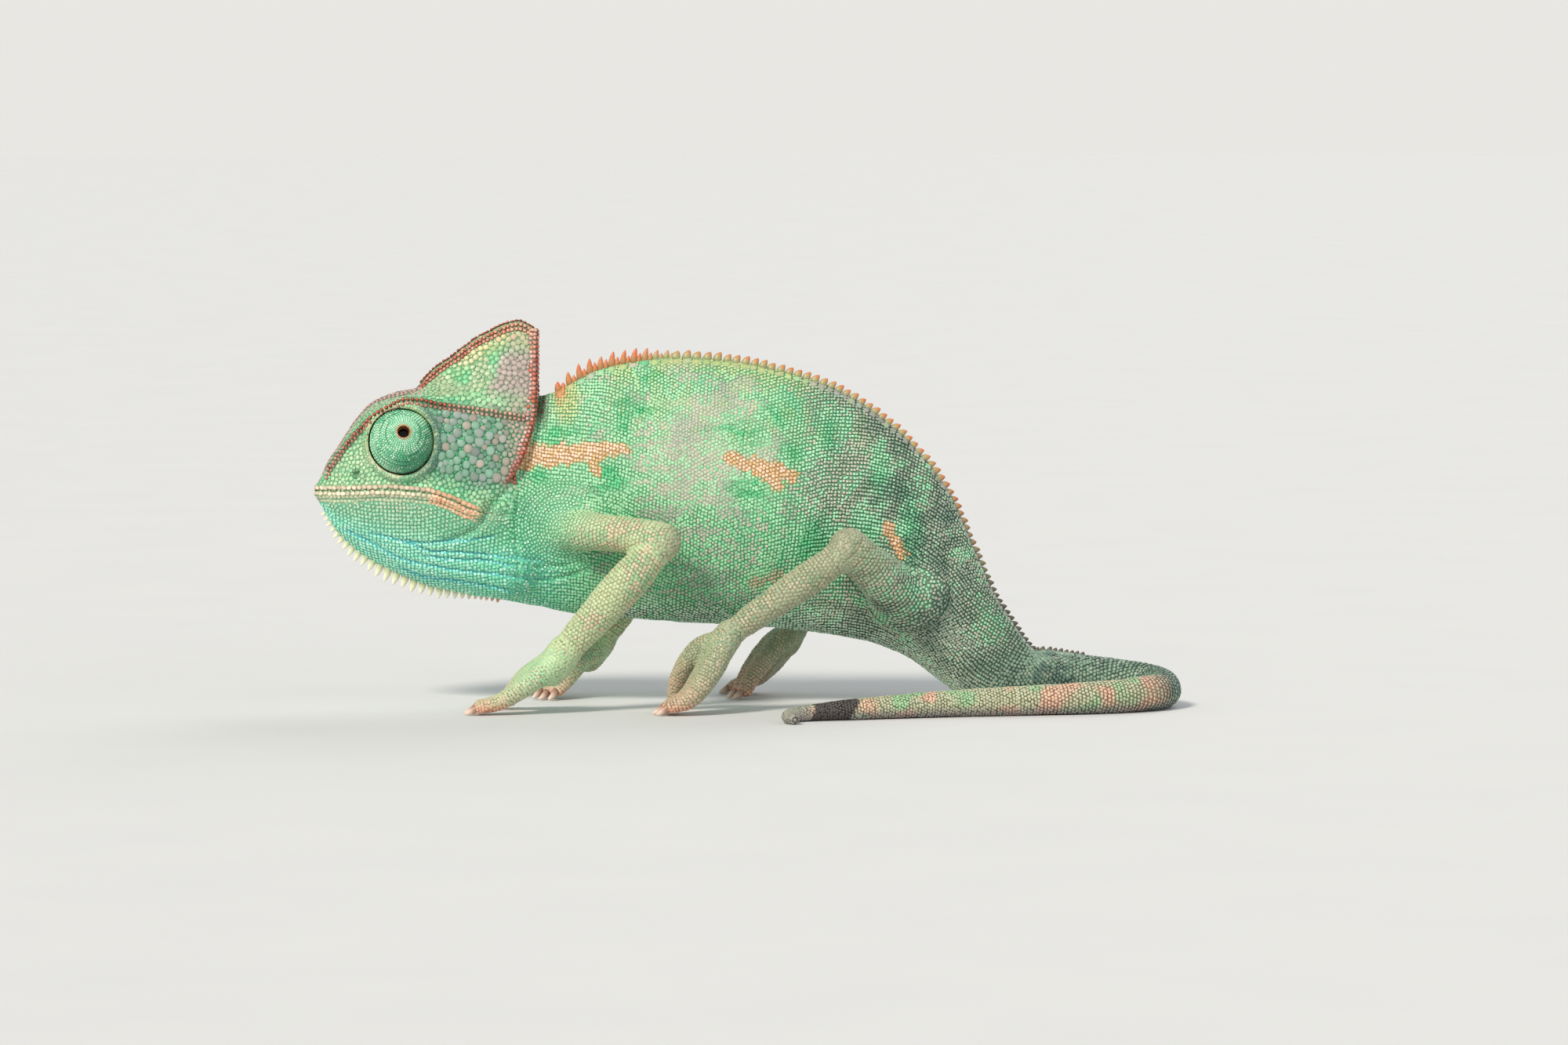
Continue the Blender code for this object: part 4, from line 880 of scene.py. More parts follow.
def hide_relief(points, near):
    """How far the hide stands out (+) or is creased in (-), in millimetres."""
    x, _, z = points.T
    part, around, along = chart["part"][near], chart["around"][near], chart["along"][near]
    head, trunk = part == HEAD, (part == BODY) & (along < 12)
    rise = (mottle(points, 1.3, 51) - 0.5) * 0.06
    mouth = z - through(MOUTH, x)[:, 0]
    rise += np.where(head & (around > 3.4) & (around < 6), -0.12 * np.exp(-(mouth / 0.07) ** 2), 0)
    low = (head & (around < 3.9)) | (trunk & (x < -12))
    rise -= np.where(low, 0.17 * along_lines(x, z, THROAT_CREASES, 0.17), 0)
    rise -= np.where(head | trunk, 0.15 * along_lines(x, z, NECK_CREASES, 0.22), 0)
    rise -= np.where(head | trunk, 0.30 * along_lines(x, z, JAW_FOLD, 0.38), 0)
    round_shoulder = np.hypot(x - SHOULDER[0], z - SHOULDER[1])
    rings = np.cos(2 * math.pi * round_shoulder / 0.9 + 1.5 * mottle(points, 3, 53))
    rise += np.where(trunk, 0.035 * rings * soft(6.5 - round_shoulder, 0, 3) * soft(-12 - x, 0, 3), 0)
    ribs = np.cos(2 * math.pi * (along + 0.2 * mottle(points, 5, 54)) / 0.62)
    rise += np.where(trunk & (along > 3), 0.05 * ribs * soft(z, 10, 14) * soft(29 - z, 0, 4), 0)
    rolls = np.cos(2 * math.pi * along * 11)
    bent = soft(along, 0.72, 0.85) * soft(1.3 - along, 0, 0.15)
    bent += soft(along, 1.8, 1.95) * soft(2.6 - along, 0, 0.3)
    rise += np.where(part >= FORE, 0.03 * rolls * bent, 0)
    return rise + 0.16 * np.exp(-((distance(points, NOSTRIL) - 0.66) / 0.25) ** 2)


def carved(item, tool):
    """The object with the tool's form cut out of it; the tool is removed."""
    carve = item.modifiers.new("carve", "BOOLEAN")
    carve.operation = "DIFFERENCE"
    carve.solver = "MANIFOLD"
    carve.object = tool
    item = settled(item)
    bpy.data.objects.remove(tool)
    return item


bpy.ops.object.select_all(action="DESELECT")
for item in flesh:
    item.select_set(True)
bpy.context.view_layer.objects.active = flesh[0]
bpy.ops.object.join()
skin = bpy.context.object
skin.name = "skin"
fuse = skin.modifiers.new("fuse", "REMESH")
fuse.mode = "VOXEL"
fuse.voxel_size = GRAIN
skin = settled(skin)
hang = skin.vertex_groups.new(name="loose")
loose = loose_skin(positions(skin.data))
for level in range(1, 11):
    some = np.nonzero(np.round(loose * 10) == level)[0]
    hang.add(some.tolist(), level / 10, "REPLACE")
for iterations, group in ((200, "loose"), (3, "")):
    ease = skin.modifiers.new("ease", "SMOOTH")
    ease.factor = 0.5
    ease.iterations = iterations
    ease.vertex_group = group
skin = settled(skin)
for side in (LEFT, RIGHT):
    socket = turned("socket", sphere_arc(TURRET_RADIUS + 0.07, 0.0, 2.1, 24, LID_CONE)
                    + [(0.0, -TURRET_BACK - 0.3)], 48)
    socket.data.transform(orbit_frame(side))
    skin = carved(skin, socket)
    bpy.ops.mesh.primitive_uv_sphere_add(segments=16, ring_count=10, radius=0.36)
    nostril = bpy.context.object
    nostril.data.transform(Matrix.Translation(mirrored(NOSTRIL, side))
                           @ Matrix.Diagonal((1.25, 1, 0.9, 1)))
    skin = carved(skin, nostril)

places = positions(skin.data)
near, _ = on_chart(places)
places += normals(skin.data) * (hide_relief(places, near) - COAT)[:, None]
places[:, 2] = np.maximum(places[:, 2], 0.02)
move_to(skin.data, places)
skin.data.update()
triangles = sum(len(face.vertices) - 2 for face in skin.data.polygons)
thin = skin.modifiers.new("thin", "DECIMATE")
thin.ratio = min(1.0, SKIN_FACES / triangles)
skin = settled(skin)

places = positions(skin.data)
colour, seam, near, uv = markings(places, np.full(len(places), 0.5))
colour = seam + (colour - seam) * 0.25
orbit = distance(places, EYE)
rim = (chart["part"][near] == HEAD) & (orbit < TURRET_RADIUS + 0.75)
colour = wash(colour, "#BDC598", rim * soft(orbit, 3.2, 3.3) * (0.75 + 0.25 * mottle(places, 0.5, 55)))
below = soft(24.6 - places[:, 2], 0, 1.2) * soft(orbit, 3.3, 3.4)
colour = wash(colour, "#E9DFC0", rim * below * 0.7)
colour = wash(colour, "#8C9C8C", rim * soft(orbit, 3.72, 3.85) * 0.8)
# Painted shade: a near-black line in the skin where it meets the turret.
colour = wash(colour, "#1E2E24", rim * soft(TURRET_RADIUS + 0.06 - orbit, 0, 0.08))
mouth = places[:, 2] - through(MOUTH, places[:, 0])[:, 0]
lips = (chart["part"][near] == HEAD) & (places[:, 0] < -24)
colour = wash(colour, "#8A4228", lips * np.exp(-(mouth / 0.055) ** 2))
# Painted shade: the hollow of each nostril is near black.
colour = wash(colour, "#120D0A", 1 - soft(distance(places, NOSTRIL), 0.36, 0.5))


def paint(mesh, name, colour):
    """Stores a colour for each vertex."""
    rows = np.column_stack([colour, np.ones(len(colour))]).astype(np.float32)
    mesh.attributes.new(name, "FLOAT_COLOR", "POINT").data.foreach_set("color", rows.ravel())


paint(skin.data, "pigment", colour)


def add(tree, kind, settings=None, links=None):
    """Adds a node. Settings are attributes or input values; links are inputs and what feeds them."""
    node = tree.nodes.new(kind)
    for key, value in (settings or {}).items():
        if isinstance(key, str) and hasattr(node, key):
            setattr(node, key, value)
        else:
            node.inputs[key].default_value = value
    for key, source in (links or {}).items():
        tree.links.new(source, node.inputs[key])
    return node


def attributes(tree, *names):
    """Nodes that read attributes of the mesh."""
    return [add(tree, "ShaderNodeAttribute", {"attribute_name": name}) for name in names]


def ranged(tree, source, ends, least, most):
    """The source's values, brought from between the two ends to between least and most."""
    settings = {"From Min": ends[0], "From Max": ends[1], "To Min": least, "To Max": most}
    return add(tree, "ShaderNodeMapRange", settings, {"Value": source}).outputs["Result"]


def scaled(tree, vector, factor):
    """The vector or colour times the factor."""
    return add(tree, "ShaderNodeVectorMath", {"operation": "SCALE"},
               {0: vector, "Scale": factor}).outputs[0]


def new_material(name, roughness, ior):
    """A node material with its tree and its shader."""
    material = bpy.data.materials.new(name)
    material.use_nodes = True
    shader = material.node_tree.nodes["Principled BSDF"]
    shader.inputs["Roughness"].default_value = roughness
    shader.inputs["IOR"].default_value = ior
    return material, material.node_tree, shader


def dusted(tree, shader, colour, scale, least, most, bump_strength, bump_depth):
    """Colours the shader, mottled by fine noise that also roughens the surface."""
    space = add(tree, "ShaderNodeTexCoord")
    speckle = add(tree, "ShaderNodeTexNoise", {"Scale": scale, "Detail": 3.0},
                  {"Vector": space.outputs["Object"]})
    tint = scaled(tree, colour, ranged(tree, speckle.outputs["Fac"], (0, 1), least, most))
    bump = add(tree, "ShaderNodeBump", {"Strength": bump_strength, "Distance": bump_depth},
               {"Height": speckle.outputs["Fac"]})
    tree.links.new(tint, shader.inputs["Base Color"])
    tree.links.new(bump.outputs["Normal"], shader.inputs["Normal"])
    return speckle


# Dry reptile hide: dull and slightly waxy, with wrinkles a quarter of a millimetre apart.
hide, tree, shader = new_material("reptile_hide", 0.6, 1.45)
pigment, = attributes(tree, "pigment")
dusted(tree, shader, pigment.outputs["Color"], 4000.0, 0.8, 1.2, 0.5, 0.00005)

FLESH_NODES = ["casque", "head", "lower_jaw", "neck", "torso"]
FLESH_NODES += [f"{name}_{word}" for word in ("left", "right")
                for name in ("upper_arm", "forearm", "forefoot", "thigh", "shin", "hindfoot")]
FLESH_NODES += [f"tail_{number}" for number in range(1, 6)]


def finish(item, slot, *nodes):
    """Sets a finished piece, flat where it rests, in the row's metres, on the body."""
    places = positions(item.data)
    places[:, 2] = np.maximum(places[:, 2], 0)
    move_to(item.data, places)
    item.data.transform(HOME)
    item.data.shade_smooth()
    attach(item, "root")
    if nodes:
        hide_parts(*nodes)
    return item


skin_corners = [tuple(face.vertices) for face in skin.data.polygons]
skin_tree = BVHTree.FromPolygons(places.tolist(), skin_corners)
skin_normals = normals(skin.data)
skin_places = places
skin.data.materials.clear()
skin.data.materials.append(hide)
finish(skin, "body_skin", *FLESH_NODES)


# Scales of trunk, tail and legs
# Small horny domes of keratin grown in the hide, in rows that stand across the body and lock in
# quincunx. Each is its own solid, rooted in the skin with a little of it showing all round.

FLANK_PITCH = 0.36
TAIL_PITCH = 0.40
LEG_PITCH = {UPPER: 0.41, LOWER: 0.42, PALM: 0.40, TOE: 0.36}
CLOSE = 0.87                           # distance between rows, for scales that lock in quincunx
OVERLAP = 1.22                         # width of a scale over its pitch
seeds = np.random.default_rng(7)


def smooth_normals(faces):
    return unit(np.array([skin_normals[list(skin_corners[face])].mean(axis=0) for face in faces]))


def settle(guesses):
    """Nearest places on the skin, the smooth normals there, and how far each guess was off."""
    found = [skin_tree.find_nearest(guess) for guess in guesses]
    return (np.array([hit[0] for hit in found]), smooth_normals([hit[2] for hit in found]),
            np.array([hit[3] for hit in found]))


def rows_on(rings, ahead, pitch):
    """Places in quincunx on a stack of rings, each a closed line, from its first point both ways."""
    guesses, along = [], []
    for number, (ring, forward) in enumerate(zip(rings, ahead)):
        line, other = np.vstack([ring, ring[:1]]), np.vstack([forward, forward[:1]])
        reach = lengths(line)
        half = reach[-1] / 2
        steps = (np.arange(int(half / pitch) + 1) + 0.5 * (number % 2)) * pitch
        steps = steps[steps < half - 0.3 * pitch]
        steps = np.concatenate([steps, reach[-1] - steps[steps > 0]])
        here = at_lengths(steps, reach, line)
        guesses.append(here)
        along.append(at_lengths(steps, reach, other) - here)
    return np.concatenate(guesses), unit(np.concatenate(along))


def even_places(centres, at, pitch, first, last):
    """Values of at, this far apart along a line of centres."""
    reach = lengths(centres)
    start, end = np.interp([first, last], at, reach)
    return np.interp(np.arange(start, end, pitch), reach, at)


def pigmented(scales):
    """Gives scales their places on the unwrap and, if they have none yet, the skin's markings."""
    colour, seam, near, uv = markings(scales["place"], scales["chance"])
    scales.setdefault("colour", colour)
    scales.setdefault("seam", seam)
    scales["uv"] = uv
    scales["part"] = chart["part"][near]
    return scales


def wandered(guesses, reach=0.28):
    """Places moved a little by smooth random amounts, so that rows wander as they do in life."""
    shift = np.column_stack([mottle(guesses, 2.6, seed) for seed in (71, 72, 73)]) - 0.5
    return guesses + shift * reach


def scale_set(guesses, along, size, off=0.35, sway=0.03):
    """Scales at guessed places: settled on the skin, with directions, sizes and chances."""
    place, normal, away = settle(guesses + seeds.normal(0, sway, guesses.shape))
    under_jaw = (place[:, 2] < 20.5) & (place[:, 0] > -23.4) & (place[:, 0] < -18)
    keep = away < np.where(under_jaw, max(off, 1.8), off)
    count = len(place)
    size = np.broadcast_to(size, (count, 3)) * (1 + seeds.uniform(-0.12, 0.12, (count, 3)))
    along = along + np.cross(normal, along) * seeds.normal(0, 0.2, (count, 1))
    return {"place": place[keep], "normal": normal[keep], "along": along[keep],
            "size": size[keep], "chance": seeds.random(count)[keep]}


def joined(sets):
    return {key: np.concatenate([one[key] for one in sets]) for key in sets[0]}


def chosen(scales, mask):
    return {key: rows[mask] for key, rows in scales.items()}


def clear_of(scales, others, gap):
    """The scales that lie further than the gap from all the others."""
    tree = tree_of(others["place"])
    return chosen(scales, np.array([tree.find(place)[2] > gap for place in scales["place"]]))


# Fine rows that curve round the shoulder, where the hide gathers above and before the arm.
guesses, along = [], []
for side in (LEFT, RIGHT):
    for reach in np.arange(0.35, 4.6, 0.30):
        turn = np.arange(0, 2 * math.pi, 0.37 / reach) + seeds.uniform(0, 1)
        for angle in turn[np.cos(turn) < 0.2 + 0.1 * reach]:
            x, z = SHOULDER[0] + reach * math.cos(angle), SHOULDER[1] + reach * math.sin(angle)
            place, _, face, _ = skin_tree.ray_cast((x, side * 20.0, z), (0.0, -side, 0.0))
            if place and abs(place.y) > 3:
                guesses.append(place)
                along.append((-math.sin(angle), 0.0, math.cos(angle)))
shoulder_scales = scale_set(np.array(guesses), np.array(along), (0.34, 0.40, 0.15))

limb_sets = []
for kind, path, stage in limb_tubes:
    pitch = LEG_PITCH[stage]
    rings = tube_rings(path, 72, samples=24)
    at = even_places(rings.mean(axis=1), np.arange(len(rings)), pitch * CLOSE, 2, len(rings) - 3)
    low = np.floor(at).astype(int)
    share = (at - low)[:, None, None]
    high = np.minimum(low + 1, len(rings) - 1)
    here = rings[low] * (1 - share) + rings[high] * share
    ahead = here + (rings[high] - rings[np.maximum(high - 1, 0)]) * 0.1
    guesses, along = rows_on(here, ahead, pitch)
    limb_sets.append(scale_set(guesses, along, np.array((1, 0.96, 0.40)) * pitch * OVERLAP, off=0.3))
limb_scales = clear_of(joined(limb_sets), shoulder_scales, 0.25)

trunk_side = trunk_grid[:, TRUNK_SIDES // 4]     # half way down the flank
at = even_places(trunk_side, trunk_at, FLANK_PITCH * CLOSE, 0.2, TORSO_END + 0.4)
guesses, along = rows_on(body_rings(at, 240), body_rings(at + 0.02, 240), FLANK_PITCH)
bulge = soft(guesses[:, 0], 0, 8)[:, None] * (-0.10, -0.08, 0.15)
trunk_scales = scale_set(wandered(guesses), along, (bulge + (1, 0.98, 0.38)) * FLANK_PITCH * OVERLAP)
trunk_scales = clear_of(clear_of(trunk_scales, shoulder_scales, 0.25), limb_scales, 0.27)

tail_sets = []
for first, last, share in ((TORSO_END + 0.4, 16.0, 1.0), (16.0, 21.0, 0.92), (21.0, 24.5, 0.82),
                           (24.5, BODY_END - 0.05, 0.7)):
    pitch = TAIL_PITCH * share
    at = even_places(trunk_side, trunk_at, pitch * CLOSE, first, last)
    guesses, along = rows_on(body_rings(at, 120), body_rings(np.minimum(at + 0.02, BODY_END), 120), pitch)
    tail_sets.append(scale_set(guesses, along, np.array((1.02, 0.96, 0.45)) * pitch * OVERLAP))
tail_scales = joined(tail_sets)


# Scales of the head
# Plates and domes of keratin on the bone: beads in rows along crown, brow and lips, large
# tubercles on the temple with small ones between, and fine even granules on jaw and throat.

def bead_row(line, pitch, size):
    """Scales at even steps along a line of (x, y, z) guesses."""
    reach = lengths(line)
    steps = np.arange(pitch / 2, reach[-1], pitch)
    here, there = (at_lengths(places, reach, line) for places in (steps, steps + 0.05))
    return scale_set(here, unit(there - here + 1e-6), size, off=2.0, sway=0.02)


def curve_of(line, first, last, count=60):
    """Places (x, half width, z) along a named line of the head."""
    x = np.linspace(first, last, count)
    found = through(line, x)
    return np.column_stack([x, found[:, 1], found[:, 0]])


def coloured(scales, seam, base, *washes, seam_wash=None):
    """Gives scales pigments: a base, washes of (hex colour, share), a seam and a wash over it."""
    colour = plain(base, scales["place"])
    for code, share in washes:
        colour = wash(colour, code, share)
    scales["colour"] = colour * (0.86 + 0.28 * seeds.random((len(colour), 1)))
    scales["seam"] = plain(seam, colour)
    if seam_wash:
        scales["seam"] = wash(scales["seam"], *seam_wash)
    return scales


rows = []
for side in (LEFT, RIGHT):
    sided = np.array([1, side, 1])
    # Crown and forehead: the middle row is shared, so it is set once.
    for number, (width, drop, height) in enumerate(((0, 0, 0.40), (0.40, 0.28, 0.36),
                                                    (0.60, 0.68, 0.26))):
        if side == LEFT or number:
            line = curve_of(CROWN, -31.2, -20.4) * (1, 0, 1) + np.array([0, side * width, -drop])
            crown = bead_row(line, 0.42, (0.45, 0.45, height))
            x, chance = crown["place"][:, 0], crown["chance"]
            rows.append(coloured(crown, "#7C3324", "#A4543F", ("#BE6B50", soft(x, -28.5, -24) * 0.8),
                                 ("#DDB08F", soft(x, -24, -21.5) * 0.8),
                                 ("#D5A18C", chance * (0.3 + 0.2 * number))))
    for number, width in enumerate((0.0, 0.42, 0.84)):
        if side == LEFT or number:
            line = curve_of(CROWN, -40.8, -31.4) * (1, 0, 1) + np.array([0, side * width, -0.05])
            strip = bead_row(line, 0.42, (0.44, 0.42, 0.24))
            rows.append(coloured(strip, "#8F6F63", "#B3938B", ("#C9A79B", strip["chance"] * 0.7)))
    for number, (stand, drop, height) in enumerate(((0.34, 0.10, 0.42), (0.26, -0.36, 0.26))):
        line = curve_of(BROW, -40.4, -21.2) * sided + np.array([0, side * stand, drop])
        brow = bead_row(line, 0.45, (0.46, 0.40, height))
        x, chance = brow["place"][:, 0], brow["chance"]
        rear = soft(x, -29.0, -26.0)
        front = soft(-36.8 - x, 0, 2.5)
        rows.append(coloured(brow, "#4A1810", "#A2412B", ("#C4664B", chance * 0.5 * (1 - rear)),
                             ("#C69A86", np.maximum(front * 0.75, number * 0.55)),
                             ("#CFA38D", rear * 0.85), ("#A7B5A0", rear * soft(chance, 0.5, 0.9) * 0.5),
                             seam_wash=("#9A7668", np.maximum(rear, number * 0.7))))
    heights = np.linspace(36.2, 21.4, 60)
    back = np.interp(heights, [p[1] for p in BACK_EDGE[::-1]], [p[0] for p in BACK_EDGE[::-1]])
    for number, (shift, stand, height) in enumerate(((0.42, 0.05, 0.34), (0.04, 0.38, 0.30),
                                                     (-0.42, 0.30, 0.24))):
        line = edge_line(back + shift, heights, side, stand)
        margin = bead_row(line, 0.44, (0.47, 0.46, height))
        z, chance = margin["place"][:, 2], margin["chance"]
        rows.append(coloured(margin, "#8C3A28", "#C7603F", ("#DDAE92", soft(z, 33.5, 35.5) * 0.8),
                             ("#C9A29A", (0.2 + 0.4 * number) * soft(chance, 0.1, 0.6)),
                             ("#8F4A33", soft(25.5 - z, 0, 3) * 0.7),
                             seam_wash=("#A48478", 0.35 * number)))
    x = np.linspace(-41.3, -25.2, 80)
    z = through(MOUTH, x)[:, 0]
    for lift, size, pale in ((0.26, 0.58, 1.0), (-0.26, 0.56, 0.8), (-0.68, 0.50, 0.45),
                             (-1.06, 0.44, 0.2)):
        line = edge_line(x, z + lift, side, 0.2)
        if side == LEFT:                         # this row also runs round the tip of the snout
            tip = [(tip_x, tip_y, z[0] + lift) for tip_x, tip_y in
                   ((-41.4, 0.75), (-41.65, 0.25), (-41.65, -0.25), (-41.4, -0.75))]
            line = np.vstack([tip, line])
        lip = bead_row(line, size * 0.9, (size * 0.9, size * 1.1, 0.12))
        x_lip, chance = lip["place"][:, 0], lip["chance"]
        rows.append(coloured(lip, "#9FBE95", "#A9C69E", ("#EBD8BF", pale * (0.7 + 0.3 * chance)),
                             ("#CDB8A2", soft(chance, 0.3, 0.9) * 0.4),
                             ("#C5CBA8", 0.35 if lift < 0 else 0.0),
                             ("#E6A680", soft(x_lip, -31.5, -28.5) * 0.8 * pale),
                             seam_wash=("#D9A27C", max(0, pale - 0.3))))
    corner = [(-30.2, 20.2), (-28.4, 19.5), (-26.8, 18.75), (-25.7, 18.65), (-25.0, 19.2),
              (-24.7, 20.0)]
    for drop in (-0.42, -0.05, 0.33):
        line = spline(corner, np.linspace(0, 5, 50))
        line += unit(np.gradient(line, axis=0))[:, ::-1] * (-drop, drop)
        band = bead_row(edge_line(line[:, 0], line[:, 1], side, 0.15), 0.40, (0.42, 0.42, 0.19))
        end = soft(band["place"][:, 0], -26.4, -24.8) + 0.5 * (band["chance"] - 0.5)
        green = soft(end, 0.1, 0.9) * 0.9
        rows.append(coloured(band, "#B5754E", "#E3A47A", ("#EBC6A6", band["chance"] * 0.9),
                             ("#8FBE90", green), seam_wash=("#57A678", green)))
head_rows = joined(rows)

# Jaw and throat: even granules in long rows along the jaw, up from the keel.
JAW_PITCH = 0.38
shares = np.linspace(0.01, 1.0, int(18.5 / (JAW_PITCH * 0.95)))
guesses, along = rows_on(head_rings(shares, 12), head_rings(shares + 0.002, 12), JAW_PITCH)
below = (guesses[:, 2] < through(MOUTH, guesses[:, 0])[:, 0] - 1.3) & (guesses[:, 0] < -22.6)
throat_size = np.array((1.16, 1.2, 0.42)) * JAW_PITCH
throat_scales = scale_set(wandered(guesses[below], 0.25), along[below], throat_size)
throat_scales = clear_of(throat_scales, head_rows, 0.30)
trunk_scales = clear_of(trunk_scales, throat_scales, 0.28)


def spaced(candidates, radius, taken, taken_radius):
    """Numbers of the candidates that keep clear of the taken places and of each other."""
    size = 2 * max(radius.max(), taken_radius.max())
    cells = {}
    for place, reach in zip(taken, taken_radius):
        cells.setdefault(tuple((place // size).astype(int)), []).append((*place, reach))
    around = [(i, j, k) for i in (-1, 0, 1) for j in (-1, 0, 1) for k in (-1, 0, 1)]
    kept = []
    for number, (place, reach) in enumerate(zip(candidates, radius)):
        x, y, z = place
        i, j, k = int(x // size), int(y // size), int(z // size)
        close = any((x - px) ** 2 + (y - py) ** 2 + (z - pz) ** 2 < (reach + other) ** 2
                    for a, b, c in around for px, py, pz, other in cells.get((i + a, j + b, k + c), ()))
        if not close:
            kept.append(number)
            cells.setdefault((i, j, k), []).append((x, y, z, reach))
    return np.array(kept, int)


skin_faces = np.array([corners[:3] for corners in skin_corners])
face_middles = skin_places[skin_faces].mean(axis=1)
face_near, _ = on_chart(face_middles)
face_is_head = chart["part"][face_near] == HEAD


def strewn(count, inside):
    """Random even places on the faces of the skin that are inside."""
    corners = skin_places[skin_faces[inside]]
    area = np.linalg.norm(np.cross(corners[:, 1] - corners[:, 0], corners[:, 2] - corners[:, 0]), axis=1)
    pick = seeds.choice(len(corners), count, p=area / area.sum())
    a, b = seeds.random(count), seeds.random(count)
    flip = a + b > 1
    a, b = np.where(flip, 1 - a, a), np.where(flip, 1 - b, b)
    one, two, three = (corners[pick, k] for k in range(3))
    return one + (two - one) * a[:, None] + (three - one) * b[:, None]


FACE_TRIES, GAP_TRIES = 60000, 50000   # random places, of which the close ones are left out
above_mouth = face_middles[:, 2] > through(MOUTH, face_middles[:, 0])[:, 0] + 0.5
ORBIT_BARE = TURRET_RADIUS + 0.40
from_eye, from_nostril = distance(face_middles, EYE), distance(face_middles, NOSTRIL)
open_face = face_is_head & above_mouth & (from_eye > ORBIT_BARE) & (from_nostril > 0.5)
candidates = strewn(FACE_TRIES, open_face & (face_middles[:, 0] < -20.3))
near, _ = on_chart(candidates)
around, x, z = chart["around"][near], candidates[:, 0], candidates[:, 2]
temple = soft(x, -29.9, -28.6) * soft(-22.4 - x, 0, 1)
temple *= soft(6.95 - around, 0, 0.3) * soft(around, 5.1, 5.5)
kind = seeds.random(len(x))
radius = np.where(around > 7.1, np.where(x > -29, 0.26, 0.20), np.where(x < -34, 0.20, 0.22))
radius = np.where(temple > 0.5, np.where(kind < 0.6, seeds.uniform(0.21, 0.31, len(x)), 0.15), radius)
large = (temple > 0.5) & (kind < np.where(x < -25.2, 0.12, 0.03))
radius = np.where(large, seeds.uniform(0.33, 0.43, len(x)), radius)
radius = np.where(distance(candidates, EYE) < TURRET_RADIUS + 0.85, 0.13, radius)
order = np.argsort(-radius + 0.12 * (kind > 0.5) + 0.05 * seeds.random(len(x)), kind="stable")
candidates, radius = candidates[order], radius[order]
taken = np.concatenate([head_rows["place"], throat_scales["place"]])
taken_radius = np.concatenate([head_rows["size"][:, 0] * 0.38, throat_scales["size"][:, 0] * 0.42])
kept = spaced(candidates, radius * 0.86, taken, taken_radius)
candidates, radius = candidates[kept], radius[kept]


def relaxed(places, radius, fixed, fixed_radius, rounds):
    """Places pushed apart until they lie evenly, with the fixed ones left where they are."""
    reach = np.concatenate([radius, fixed_radius])
    for _ in range(rounds):
        tree = tree_of(np.concatenate([places, fixed]))
        push = np.zeros_like(places)
        for number, place in enumerate(places):
            for other, index, away in tree.find_range(place, radius[number] + 0.55):
                wanted = (radius[number] + reach[index]) * 1.06
                if index != number and away < wanted:
                    share = (wanted - away) / max(away, 1e-4) * 0.45
                    push[number] += (place - np.array(other)) * share
        places, _, _ = settle(places + push)
    return places


candidates = relaxed(candidates, radius, taken, taken_radius, 5)
apex = np.array([-21.0, 0.0, 36.6])
upward = unit(apex - candidates)
face_scales = scale_set(candidates, upward, radius[:, None] * 2 * (1.18, 1.28, 0.34), sway=0.0)
big = face_scales["size"][:, 0] > 0.56

# Loose granules fill the gaps that the rows leave, such as elbows, armpits, groins and soles.
every = (shoulder_scales, trunk_scales, tail_scales, limb_scales, throat_scales, face_scales,
         head_rows)
taken = np.concatenate([scales["place"] for scales in every])
taken_tree = tree_of(taken)
bare = np.array([taken_tree.find(place)[2] > 0.22 for place in face_middles])
gaps = strewn(GAP_TRIES, bare & (from_eye > ORBIT_BARE) & (from_nostril > 0.45))
gap_near, _ = on_chart(gaps)
gap_radius = np.where(chart["part"][gap_near] == HEAD, 0.15, seeds.uniform(0.15, 0.19, len(gaps)))
order = np.argsort(-gap_radius, kind="stable")
gaps, gap_radius = gaps[order], gap_radius[order]
kept = spaced(gaps, gap_radius * 0.82, taken,
              np.concatenate([scales["size"][:, 0] * 0.36 for scales in every]))
fore = np.tile((1.0, 0.0, 0.0), (len(kept), 1))
filler = scale_set(gaps[kept], fore, gap_radius[kept, None] * 2 * (1.2, 1.2, 0.38), sway=0.0)
for scales in every + (filler,):
    pigmented(scales)

# On the temple the largest tubercles are grey-lilac or rosy and the smallest a vivid green.
place, size, chance = face_scales["place"], face_scales["size"][:, 0], face_scales["chance"]
near, _ = on_chart(place)
cheek = soft(place[:, 0], -30.5, -29) * soft(chart["around"][near], 4.9, 5.4) * (chart["around"][near] < 7.2)
forward = soft(-25.0 - place[:, 0], -1, 3)
colour = wash(face_scales["colour"], "#3FAE6C", cheek * soft(0.56 - size, 0, 0.2)
              * soft(chance + 0.6 * forward - 0.4, 0.2, 0.6) * 0.85)
colour = wash(colour, "#8E9791", cheek * soft(size, 0.5, 0.75) * (0.35 + 0.55 * soft(chance, 0.2, 0.7)))
rosy = soft(size, 0.5, 0.7) * soft(chance + 0.05 * (place[:, 0] + 25), 0.6, 0.8)
colour = wash(colour, "#A89686", cheek * rosy * 0.7)
colour *= 1 + cheek[:, None] * (seeds.random((len(size), 1)) - 0.62) * 0.4
socket = soft(TURRET_RADIUS + 1.0 - distance(place, EYE), 0, 0.15) * soft(place[:, 0], -32, -30)
face_scales["colour"] = wash(colour, "#6F8580", socket * 0.8)
place = shoulder_scales["place"]
gathered = soft(4.6 - np.hypot(place[:, 0] - SHOULDER[0], place[:, 2] - SHOULDER[1]), 0, 2.5)
pale = gathered * (0.45 + 0.4 * shoulder_scales["chance"])
shoulder_scales["colour"] = wash(shoulder_scales["colour"], "#A9D8B0", pale)
shoulder_scales["seam"] = wash(shoulder_scales["seam"], "#6FAE88", gathered * 0.7)


